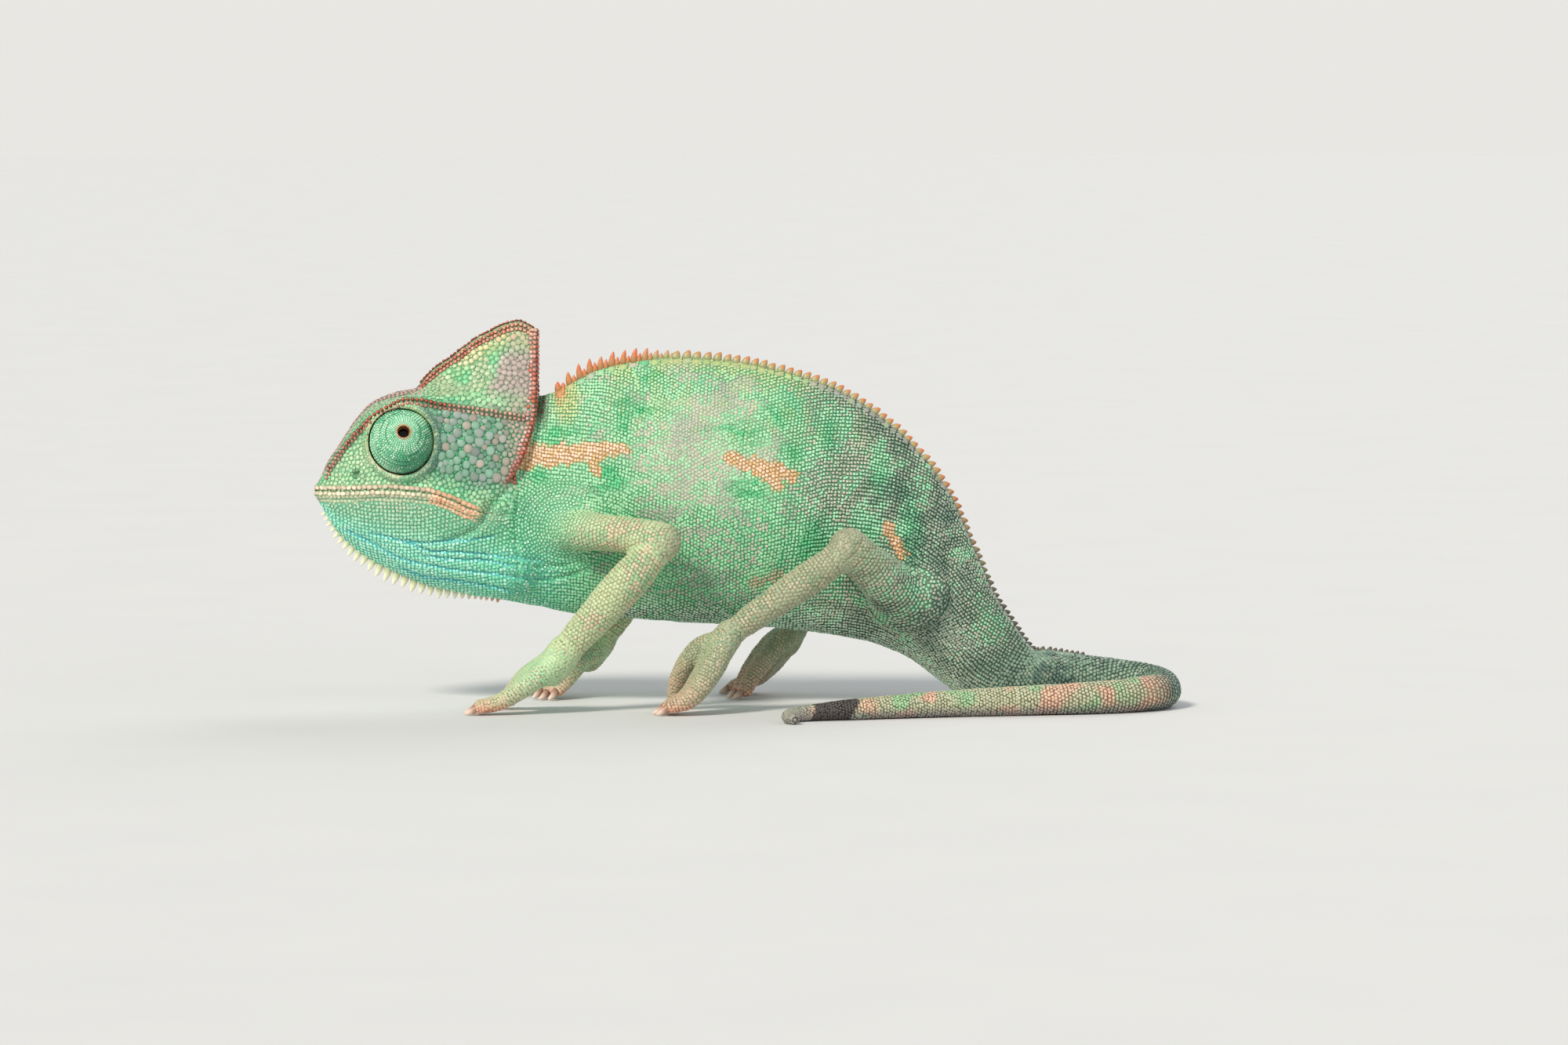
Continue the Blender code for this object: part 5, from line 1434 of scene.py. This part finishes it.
def scale_tree():
    """Geometry Nodes: a closed dome on each root, turned and sized by the root's own attributes."""
    group = bpy.data.node_groups.new("scale_coat", "GeometryNodeTree")
    face = group.interface
    face.new_socket("Roots", in_out="INPUT", socket_type="NodeSocketGeometry")
    for name, kind, value in (("Sides", "Int", 7), ("Rings", "Int", 2), ("Flatness", "Float", 1.0),
                              ("Roughen", "Float", 0.05), ("Patch", "Float", 0.003), ("Seed", "Int", 3),
                              ("Material", "Material", None)):
        socket = face.new_socket(name, in_out="INPUT", socket_type=f"NodeSocket{kind}")
        if value is not None:
            socket.default_value = value
    face.new_socket("Scales", in_out="OUTPUT", socket_type="NodeSocketGeometry")
    given = add(group, "NodeGroupInput").outputs

    def stored(geometry, name, value, kind, domain):
        settings = {"data_type": kind, "domain": domain, "Name": name}
        return add(group, "GeometryNodeStoreNamedAttribute", settings,
                   {"Geometry": geometry, "Value": value}).outputs[0]

    def parts_of(vector):
        return add(group, "ShaderNodeSeparateXYZ", links={0: vector}).outputs

    def moved(geometry, name, vector):
        links = {"Geometry": geometry, name: vector}
        return add(group, "GeometryNodeSetPosition", links=links).outputs[0]

    def sum_of(operation, *sources):
        """A Math node fed by sockets or plain numbers."""
        node = add(group, "ShaderNodeMath", {"operation": operation})
        for slot, source in enumerate(sources):
            if isinstance(source, float):
                node.inputs[slot].default_value = source
            else:
                group.links.new(source, node.inputs[slot])
        return node.outputs[0]

    # A cone with a few rings is bent into a dome: its height turns into an angle of a quarter circle.
    cone = add(group, "GeometryNodeMeshCone", {"fill_type": "TRIANGLE_FAN", "Radius Top": 0.0,
                                               "Radius Bottom": 0.5, "Depth": 0.5},
               {"Vertices": given["Sides"], "Side Segments": given["Rings"]})
    x, y, z = parts_of(add(group, "GeometryNodeInputPosition").outputs[0])
    angle = sum_of("MULTIPLY", z, math.pi)
    reach = sum_of("SQRT", sum_of("ADD", sum_of("MULTIPLY", x, x), sum_of("MULTIPLY", y, y)))
    girth = sum_of("DIVIDE", sum_of("MULTIPLY", sum_of("COSINE", angle), 0.5),
                   sum_of("MAXIMUM", reach, 0.001))
    middle = sum_of("MULTIPLY", sum_of("LESS_THAN", reach, 0.01), sum_of("LESS_THAN", z, 0.01))
    swell = sum_of("POWER", sum_of("MAXIMUM", sum_of("SINE", angle), 0.0), given["Flatness"])
    height = sum_of("SUBTRACT", sum_of("MULTIPLY", swell, 0.5), sum_of("MULTIPLY", middle, 0.2))
    bent = add(group, "ShaderNodeCombineXYZ", links={"X": sum_of("MULTIPLY", x, girth),
                                                     "Y": sum_of("MULTIPLY", y, girth), "Z": height})
    dome = moved(cone.outputs["Mesh"], "Position", bent.outputs[0])
    here = add(group, "GeometryNodeInputPosition").outputs[0]
    lift = parts_of(here)["Z"]
    facing = parts_of(add(group, "GeometryNodeInputNormal").outputs[0])
    marked = stored(dome, "lift", lift, "FLOAT", "POINT")
    marked = stored(marked, "patch", here, "FLOAT_VECTOR", "POINT")
    marked = stored(marked, "upper", sum_of("GREATER_THAN", facing["Z"], -0.3), "FLOAT", "FACE")
    size, turn, root_uv, patch = (
        add(group, "GeometryNodeInputNamedAttribute", {"data_type": "FLOAT_VECTOR", "Name": name}).outputs[0]
        for name in ("size", "turn", "unwrap", "patch"))
    upper = add(group, "GeometryNodeInputNamedAttribute", {"data_type": "FLOAT", "Name": "upper"})
    rotation = add(group, "FunctionNodeEulerToRotation", links={0: turn})
    placed = add(group, "GeometryNodeInstanceOnPoints",
                 links={"Points": given["Roots"], "Instance": marked, "Rotation": rotation.outputs[0],
                        "Scale": size})
    real = add(group, "GeometryNodeRealizeInstances", links={0: placed.outputs[0]})
    wobble = add(group, "ShaderNodeTexNoise", {"noise_dimensions": "4D", "Scale": 4.0, "Detail": 0.0},
                 {"Vector": here, "W": given["Seed"]})
    centred = add(group, "ShaderNodeVectorMath", {"operation": "SUBTRACT", 1: (0.5, 0.5, 0.5)},
                  {0: wobble.outputs["Color"]})
    shift = scaled(group, centred.outputs[0], given["Roughen"])
    rough = moved(real.outputs[0], "Offset", shift)
    offset = scaled(group, patch, sum_of("MULTIPLY", given["Patch"], upper.outputs[0]))
    spot = add(group, "ShaderNodeVectorMath", {"operation": "ADD"}, {0: root_uv, 1: offset})
    mapped = stored(rough, "OFBake", spot.outputs[0], "FLOAT2", "CORNER")
    dressed = add(group, "GeometryNodeSetMaterial",
                  links={"Geometry": mapped, "Material": given["Material"]})
    add(group, "NodeGroupOutput", links={0: dressed.outputs[0]})
    return group


def turns(along, normal):
    """Euler angles of frames whose Z is the normal and whose Y lies along the body."""
    forward = unit(along - normal * (along * normal).sum(1, keepdims=True))
    across = unit(np.cross(forward, normal))
    return np.stack([np.arctan2(forward[:, 2], normal[:, 2]), np.arcsin(np.clip(-across[:, 2], -1, 1)),
                     np.arctan2(across[:, 1], across[:, 0])], axis=1)


# Keratin of the scales: a thin horny layer with a soft sheen over the pigment, which is deepest on
# the dome, brightened on top as a painted highlight, and turns to the colour of the thin skin in
# the seam. The grain is a sixth of a millimetre.
keratin, tree, shader = new_material("scale_keratin", 0.45, 1.54)
pigment, seam, lift = attributes(tree, "pigment", "seam", "lift")
share = ranged(tree, lift.outputs["Fac"], (0.21, 0.39), 0, 1)
blend = add(tree, "ShaderNodeMix", {"data_type": "RGBA"}, {"Factor": share})
tree.links.new(seam.outputs["Color"], blend.inputs[6])
tree.links.new(pigment.outputs["Color"], blend.inputs[7])
# Painted highlight: each dome's colour is raised towards its top and lowered a little beneath it.
toned = scaled(tree, blend.outputs[2], ranged(tree, lift.outputs["Fac"], (0.34, 0.5), 0.92, 1.22))
speckle = dusted(tree, shader, toned, 6000.0, 0.86, 1.12, 0.25, 0.00003)
gloss = ranged(tree, speckle.outputs["Fac"], (0, 1), 0.30, 0.52)
tree.links.new(gloss, shader.inputs["Roughness"])

coat_group = scale_tree()


def coat(name, slot, scales, sides=6, rings=2, flatness=1.0, seed=3):
    """Makes one coat piece: a joined mesh with a closed dome on each root."""
    mesh = bpy.data.meshes.new(name)
    mesh.from_pydata(scales["place"].tolist(), [], [])
    columns = (("turn", turns(scales["along"], scales["normal"])), ("size", scales["size"]),
               ("unwrap", np.column_stack([scales["uv"], np.zeros(len(scales["uv"]))])))
    for key, rows in columns:
        mesh.attributes.new(key, "FLOAT_VECTOR", "POINT").data.foreach_set(
            "vector", np.ascontiguousarray(rows, np.float32).ravel())
    shade = 0.9 + 0.2 * np.random.default_rng(seed).random((len(scales["place"]), 1))
    paint(mesh, "pigment", scales["colour"] * shade)
    paint(mesh, "seam", scales["seam"])
    item = new_object(name, mesh)
    grow = item.modifiers.new("grow", "NODES")
    grow.node_group = coat_group
    sockets = {entry.name: entry.identifier for entry in coat_group.interface.items_tree
               if entry.in_out == "INPUT"}
    for key, value in (("Sides", sides), ("Rings", rings), ("Flatness", flatness), ("Seed", seed),
                       ("Material", keratin)):
        grow[sockets[key]] = value
    return finish(settled(item), slot)


x = trunk_scales["place"][:, 0]
for name, first, last in (("scales_neck", -99, -13.5), ("scales_flank_front", -13.5, -5.5),
                          ("scales_flank_middle", -5.5, 3.0), ("scales_flank_rear", 3.0, 12.0),
                          ("scales_rump", 12.0, 99)):
    coat(name, "body_skin", chosen(trunk_scales, (x >= first) & (x < last)))
coat("scales_shoulders", "body_skin", shoulder_scales)
coat("scales_tail", "tail_skin", tail_scales)
is_fore = (limb_scales["part"] == FORE) | (limb_scales["part"] < FORE) & (limb_scales["place"][:, 0] < 0)
for side, hand in ((LEFT, "left"), (RIGHT, "right")):
    own = limb_scales["place"][:, 1] * side > 0
    coat(f"scales_foreleg_{hand}", "limb_skin", chosen(limb_scales, own & is_fore))
    coat(f"scales_hindleg_{hand}", "limb_skin", chosen(limb_scales, own & ~is_fore))
coat("scales_throat", "throat_skin", throat_scales)
coat("scales_face", "head_skin", chosen(face_scales, ~big), sides=8, rings=3, flatness=0.85)
coat("scales_temple_tubercles", "head_skin", chosen(face_scales, big), sides=12, rings=4, flatness=0.7)
coat("scales_head_rows", "casque_skin", head_rows, sides=8, rings=3, flatness=0.9)
coat("scales_filler", "body_skin", filler)


# Eye turrets
# Fused, scaly lids: a cup of skin round the ball, open only at the small hole that it looks
# through, with fine granules in rings and folds where the cup slides as the eye turns.

LID_THICKNESS = 0.6
LID_OPENING = 0.60
LID_CREASES = (0.58, 0.80, 0.98, 1.14, 1.28)     # angles of the folds round the line of sight
FOLD_DEPTH = 0.05 / TURRET_RADIUS                # as a share of the turret's radius


def lid_folds(angle, turn):
    """1 in the folds of the lids, which run only part of the way round."""
    folds = [np.exp(-((angle - crease) / 0.03) ** 2) * soft(np.cos(2 * turn + number * 1.3), -0.3, 0.5)
             for number, crease in enumerate(LID_CREASES)]
    return np.maximum.reduce(folds)


def turret_pigment(angle, turn, points, chance):
    """Mint lids with dark fold lines, pale granules, painted shade on one side and a rosy gold rim at the
    opening.
    """
    fine, coarse = mottle(points, 0.4, 61), mottle(points, 1.2, 62)
    colour = wash(plain("#A6E8BA", points), "#69C594", soft(coarse, 0.35, 0.8))
    colour = wash(colour, "#D2F5D6", soft(0.65 * chance + 0.35 * fine, 0.45, 0.75) * 0.8)
    colour = wash(colour, "#2D7F58", lid_folds(angle, turn) * 0.8)
    # Painted shade: one side of each turret is darker, away from the light.
    colour = wash(colour, "#26805A", soft(np.cos(turn + 0.6), 0.1, 0.9) * soft(angle, 0.5, 1.1) * 0.6)
    return wash(colour, "#CFA27E", soft(0.27 - angle, 0, 0.06))


turret_sets = []
for side, hand in ((LEFT, "left"), (RIGHT, "right")):
    inner = TURRET_RADIUS - LID_THICKNESS
    radius = TURRET_RADIUS - 0.07
    outer_arc = sphere_arc(radius, math.asin(LID_OPENING / TURRET_RADIUS), 2.0, 90, LID_CONE)
    inner_arc = sphere_arc(inner, math.asin(LID_OPENING / inner), 2.0, 20)
    item = turned(f"turret_{hand}", outer_arc + inner_arc[::-1] + outer_arc[:1], 80)
    local = positions(item.data)
    out = np.linalg.norm(local, axis=1)
    angle, turn = np.arccos(np.clip(local[:, 2] / out, -1, 1)), np.arctan2(local[:, 1], local[:, 0])
    colour = turret_pigment(angle, turn, local, np.full(len(local), 0.4))
    colour = wash(colour, "#2A7D5A", 0.35)
    colour = wash(colour, "#A9744E", soft(0.25 - angle, 0, 0.03))
    inside = out < TURRET_RADIUS - 0.3
    local *= (1 - FOLD_DEPTH * np.where(inside, 0, lid_folds(angle, turn)))[:, None]
    move_to(item.data, local)
    # Painted shade: the inside of the lid cup, seen round the ball, is near-black brown.
    paint(item.data, "pigment", np.where(inside[:, None], linear("#2A1A12"), colour))
    item.data.transform(orbit_frame(side))
    item.data.materials.append(hide)
    finish(item, "turret_skin", f"eyelid_{hand}")
    spin, centre = np.array(orbit_frame(side).to_3x3()), np.array(orbit_frame(side).translation)
    angle, number = LID_OPENING / TURRET_RADIUS + 0.04, 0
    while angle < 1.75:
        pitch = 0.17 + 0.10 * float(soft(angle, 0.2, 0.7))
        count = int(2 * math.pi * TURRET_RADIUS * math.sin(angle) / pitch)
        turn = (np.arange(count) + 0.5 * number) / count * 2 * math.pi
        ring = np.column_stack([np.cos(turn), np.sin(turn)])
        top = sphere_arc(radius, angle, angle, 1, LID_CONE)[0][1]
        chance = seeds.random(count)
        place = np.column_stack([ring * radius * math.sin(angle), np.full(count, top)]) @ spin.T + centre
        folds = lid_folds(angle, turn)
        colour = turret_pigment(np.full(count, angle), turn, place, chance)
        place -= (place - centre) * FOLD_DEPTH * folds[:, None]
        size = (1 - 0.5 * folds)[:, None] * np.array((1.05, 1.1, 0.5)) * pitch
        turret_sets.append({
            "place": place, "chance": chance, "part": np.full(count, HEAD), "colour": colour,
            "normal": np.column_stack([ring * math.sin(angle), np.full(count, math.cos(angle))]) @ spin.T,
            "along": np.column_stack([-ring[:, 1], ring[:, 0], np.zeros(count)]) @ spin.T,
            "size": size * (1 + seeds.uniform(-0.2, 0.2, (count, 3))),
            "seam": wash(colour, "#2E7F5C", 0.35),
            "uv": ring * (0.125, 0.25) * angle + (0.25 + 0.5 * (side == RIGHT), 0.5)})
        angle += pitch * CLOSE / TURRET_RADIUS
        number += 1
coat("scales_turrets", "turret_skin", joined(turret_sets), sides=6)


# Eyes
# A wet ball behind the lids: black pupil, a thin gold iris and the clear cornea's hard glint.

BALL_RADIUS = 2.5
PUPIL = 0.50
cornea, tree, shader = new_material("wet_eye", 0.06, 1.38)
iris, = attributes(tree, "pigment")
dusted(tree, shader, iris.outputs["Color"], 9000.0, 0.7, 1.3, 0.0, 0.00001)
for side, word in ((LEFT, "left"), (RIGHT, "right")):
    profile = sphere_arc(BALL_RADIUS, 0.0, 1.9, 60) + [(0.0, BALL_RADIUS * math.cos(1.9))]
    ball = turned(f"eyeball_{word}", profile, 48)
    local = positions(ball.data)
    out = np.hypot(local[:, 0], local[:, 1])
    colour = wash(np.tile(linear("#060504"), (len(out), 1)), "#C9925A", soft(out, PUPIL - 0.02, PUPIL + 0.04)
                  * (local[:, 2] > 0))
    paint(ball.data, "pigment", colour)
    ball.data.transform(orbit_frame(side))
    ball.data.materials.append(cornea)
    finish(ball, "eye", f"eye_{word}")


# Crests
# Soft cones of horn in one row: a saw of large ones along the nape and back that grow smaller to
# the rump, with a flat plate beside each, and an ivory fringe under chin and throat. Each is rooted
# well inside the skin.

ROOT_DEPTH = 0.35                      # how far below the crest's own line a cone begins


def cone_row(name, slot, cones):
    """Bent cones (root, tip, width, root colour, tip colour) with blunt tips, joined in one mesh."""
    sides, levels = 10, 7
    turn = np.linspace(0, 2 * math.pi, sides, endpoint=False)
    places, faces, pigments, shares, patches = [], [], [], [], []
    for root, tip, width, root_colour, tip_colour in cones:
        first = len(places)
        along = unit(tip - root)
        across = unit(np.cross(along, (0.0, 1.0, 0.0)))
        beside = np.cross(along, across)
        for level in range(levels):
            share = 1 - (1 - level / (levels - 1)) ** 1.4
            girth = width / 2 * (1 - share ** 2) ** 0.75 + 0.02
            bend = across * 0.10 * width * math.sin(math.pi * share)
            for angle in turn:
                places.append(root + (tip - root) * share + bend
                              + girth * (math.cos(angle) * across + 0.85 * math.sin(angle) * beside))
                pigments.append(root_colour + (tip_colour - root_colour) * float(soft(share, 0.25, 0.85)))
                shares.append(share)
                patches.append((math.cos(angle) * (1 - share), math.sin(angle) * (1 - share)))
        for level in range(levels - 1):
            for j in range(sides):
                a, b = first + level * sides + j, first + level * sides + (j + 1) % sides
                faces.append((a, b, b + sides, a + sides))
        faces.append(tuple(range(first, first + sides)))
        faces.append(tuple(range(first + (levels - 1) * sides, first + levels * sides)))
    mesh = bpy.data.meshes.new(name)
    mesh.from_pydata([tuple(place) for place in places], [], faces)
    face_out(mesh)
    paint(mesh, "pigment", np.array(pigments))
    mesh.attributes.new("lift", "FLOAT", "POINT").data.foreach_set("value", np.array(shares, np.float32))
    item = new_object(name, mesh)
    _, uv = on_chart(np.array([np.mean(cone[:2], axis=0) for cone in cones]))
    spots = np.repeat(uv, sides * levels, axis=0) + np.array(patches) * 0.0015
    layer = mesh.uv_layers.new(name="OFBake")
    loops = np.empty(len(mesh.loops), np.int32)
    mesh.loops.foreach_get("vertex_index", loops)
    layer.uv.foreach_set("vector", spots[loops].astype(np.float32).ravel())
    mesh.materials.append(horn)
    return finish(item, slot)


# Horn of crests and claws: keratin with a waxy sheen, a little glossier than the scales, darker at
# its root in the skin, with fibres a fifth of a millimetre apart.
horn, tree, shader = new_material("horn_keratin", 0.42, 1.54)
pigment, lift = attributes(tree, "pigment", "lift")
toned = scaled(tree, pigment.outputs["Color"], ranged(tree, lift.outputs["Fac"], (0, 0.5), 0.55, 1.0))
dusted(tree, shader, toned, 5000.0, 0.85, 1.15, 0.25, 0.00004)

CREST_START, CREST_END = 2.15, 14.2    # rib numbers, as in the tables of pitch and height
CREST_PITCH = ((2.15, 1.12), (3.9, 1.05), (5.5, 0.86), (9.0, 0.80), (11.3, 0.64), (14.2, 0.52))
CREST_HEIGHT = ((2.15, 0.7), (2.7, 1.2), (3.7, 1.1), (4.4, 0.6), (5.5, 0.62), (9.0, 0.45),
                (11.3, 0.34), (14.2, 0.2))


def between(first, second, share):
    """The colour this share of the way from one hex colour to another."""
    return linear(first) * (1 - share) + linear(second) * share


controls = body_controls()
cones, plates, plate_sizes, plate_ways = [], [], [], []
at = CREST_START
while at < CREST_END:
    row, ahead = spline(controls, np.array([at, at + 0.02]))
    up = unit(row[3:6])
    crest, crest_ahead = row[:3] + up * row[6], ahead[:3] + unit(ahead[3:6]) * ahead[6]
    along = unit(crest_ahead - crest)
    out = unit(up - along * (up @ along))
    orange = float(np.interp(at, [2.15, 3.6, 4.2, 5.6, 9.3, 10.6], [1, 0.95, 0.35, 0.6, 0.8, 0.0]))
    dark = float(np.interp(at, [8.5, 11], [0, 1]))
    base = between("#9DB57C", "#57503F", dark)
    tip_colour = between("#D8693A", "#6A5A48", dark)
    tip_colour = base + (tip_colour - base) * min(1.0, orange + 0.2) * seeds.uniform(0.75, 1.0)
    base = base + (linear("#CE7A45") - base) * (0.75 if at < 4.0 else 0.25) * orange
    pitch = float(np.interp(at, *zip(*CREST_PITCH))) * seeds.uniform(0.94, 1.06)
    for side in (LEFT, RIGHT):
        plates.append(crest - out * 0.45 + np.array([0.0, side * 0.5, 0.0]))
        plate_ways.append(along)
        plate_sizes.append((0.85, pitch * 0.95, 0.2))
    small = 0.55 if at < 4.4 else 0.0            # a small cone stands between the large ones in front
    for share, size in ((0.0, 1.0), (0.5, small)):
        if size:
            height = float(np.interp(at, *zip(*CREST_HEIGHT))) * size * seeds.uniform(0.88, 1.12)
            place = crest + along * pitch * share
            width = pitch * (0.62 if small else 0.98) * (0.8 if share else 1)
            tip = place + out * height + along * height * 0.45
            cones.append((place - out * ROOT_DEPTH, tip, width, base, tip_colour))
    at += pitch / (np.linalg.norm(crest_ahead - crest) / 0.02)
cone_row("crest_of_back", "body_skin", cones)
plates = scale_set(np.array(plates), np.array(plate_ways), np.array(plate_sizes), off=1.0)
plates["colour"] = pigmented(plates)["colour"] * 0.8
coat("scales_below_crest", "body_skin", plates, sides=10, rings=4, flatness=0.7)

cones = []
place = -40.5
while place < -23.5:
    share = (place + 40.5) / 15.4
    swell = math.sin(math.pi * min(1.0, share * 1.05)) if share < 0.95 else 0.0
    length = (0.40 + 0.85 * swell - 0.12 * min(share, 1)) * seeds.uniform(0.9, 1.1)
    width = 0.42 + 0.36 * swell
    here, further = through(KEEL, [place, place + 0.4])[:, 0]
    slope = np.array([0.4, 0.0, further - here])
    out = unit(np.array([slope[2], 0.0, -slope[0]]))
    root = np.array([place, 0.0, here])
    late = min(1.0, max(0.0, (share - 0.85) * 5))
    tip = root + unit(out + np.array([0.15, 0, 0])) * length
    cones.append((root - out * ROOT_DEPTH, tip, width,
                  between("#DCE3B4", "#C98F70", late), between("#F3EFD6", "#DDB090", late)))
    place += (width + 0.12) / (np.linalg.norm(slope) / 0.4)
cone_row("fringe_of_throat", "throat_skin", cones)


# Claws
# One short hooked point of horn on each toe, grown out of the pad's end and worn blunt below.

CLAW_LENGTH = 0.8
CLAW_WIDTH = 0.72
cones = []
for tip, ahead, radius in claws:
    end = tip + ahead * (radius + CLAW_LENGTH)
    end[2] = 0.14
    cones.append((tip + ahead * 0.25, end, CLAW_WIDTH, linear("#B88E7A"), linear("#E4CDBB")))
cone_row("claws", "limb_skin", cones)


# Floor, light and camera
# A plain pale floor, matt as paper, under soft light from the upper left, as a studio would use.
# It runs on as one pale surround behind the model.

SURROUND = "#E8E7E3"
paper, tree, shader = new_material("matt_paper", 0.85, 1.45)
space = add(tree, "ShaderNodeTexCoord")
pulp = add(tree, "ShaderNodeTexNoise", {"Scale": 60.0, "Detail": 4.0},
           {"Vector": space.outputs["Object"]})
tone = add(tree, "ShaderNodeValToRGB", links={"Fac": pulp.outputs["Fac"]})
tone.color_ramp.elements[0].color = (*linear("#D0D0CF"), 1)
tone.color_ramp.elements[1].color = (*linear("#D6D6D4"), 1)
tree.links.new(tone.outputs["Color"], shader.inputs["Base Color"])
bpy.ops.mesh.primitive_circle_add(vertices=96, radius=3.0, fill_type="NGON")
floor = bpy.context.object
floor.name = "studio_floor"
floor.data.materials.append(paper)
floor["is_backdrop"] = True

world = bpy.data.worlds.new("studio")
world.use_nodes = True
tree = world.node_tree
glow = tree.nodes["Background"]
glow.inputs["Color"].default_value = (*linear("#E6ECF0"), 1)
glow.inputs["Strength"].default_value = 0.52
seen = add(tree, "ShaderNodeBackground", {"Color": (*linear(SURROUND), 1)})
ray = add(tree, "ShaderNodeLightPath")
either = add(tree, "ShaderNodeMixShader",
             links={0: ray.outputs["Is Camera Ray"], 1: glow.outputs[0], 2: seen.outputs[0]})
tree.links.new(either.outputs[0], tree.nodes["World Output"].inputs["Surface"])
bpy.context.scene.world = world


def soft_light(name, source, width, strength, colour):
    """A far lamp that shines from the direction of source; its width in degrees softens shadows."""
    light = bpy.data.lights.new(name, "SUN")
    light.angle = math.radians(width)
    light.energy = strength
    light.color = linear(colour)
    lamp = new_object(name, light)
    lamp.rotation_euler = Vector(source).to_track_quat("Z", "Y").to_euler()


soft_light("key", (-0.55, -0.75, 0.85), 14, 2.9, "#FFF8EE")
soft_light("fill", (0.8, -0.5, 0.25), 60, 0.5, "#EEF4FF")
soft_light("back", (0.5, 0.8, 0.6), 40, 0.9, "#FFFFFF")

CAMERA_LOOK = Vector((0.0035, -0.0005, 0.0178))
CAMERA_RISE = math.radians(4)
CAMERA_DISTANCE = 0.669
view = bpy.data.cameras.new("view")
view.sensor_width = 22.3
view.lens = 100
view.clip_start = 0.05
view.clip_end = 20
camera = new_object("camera", view)
away = Vector((0, -math.cos(CAMERA_RISE), math.sin(CAMERA_RISE)))
camera.location = CAMERA_LOOK + away * CAMERA_DISTANCE
camera.rotation_euler = (-away).to_track_quat("-Z", "Y").to_euler()
bpy.context.scene.camera = camera
bpy.context.scene.view_settings.view_transform = "Standard"

low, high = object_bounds()
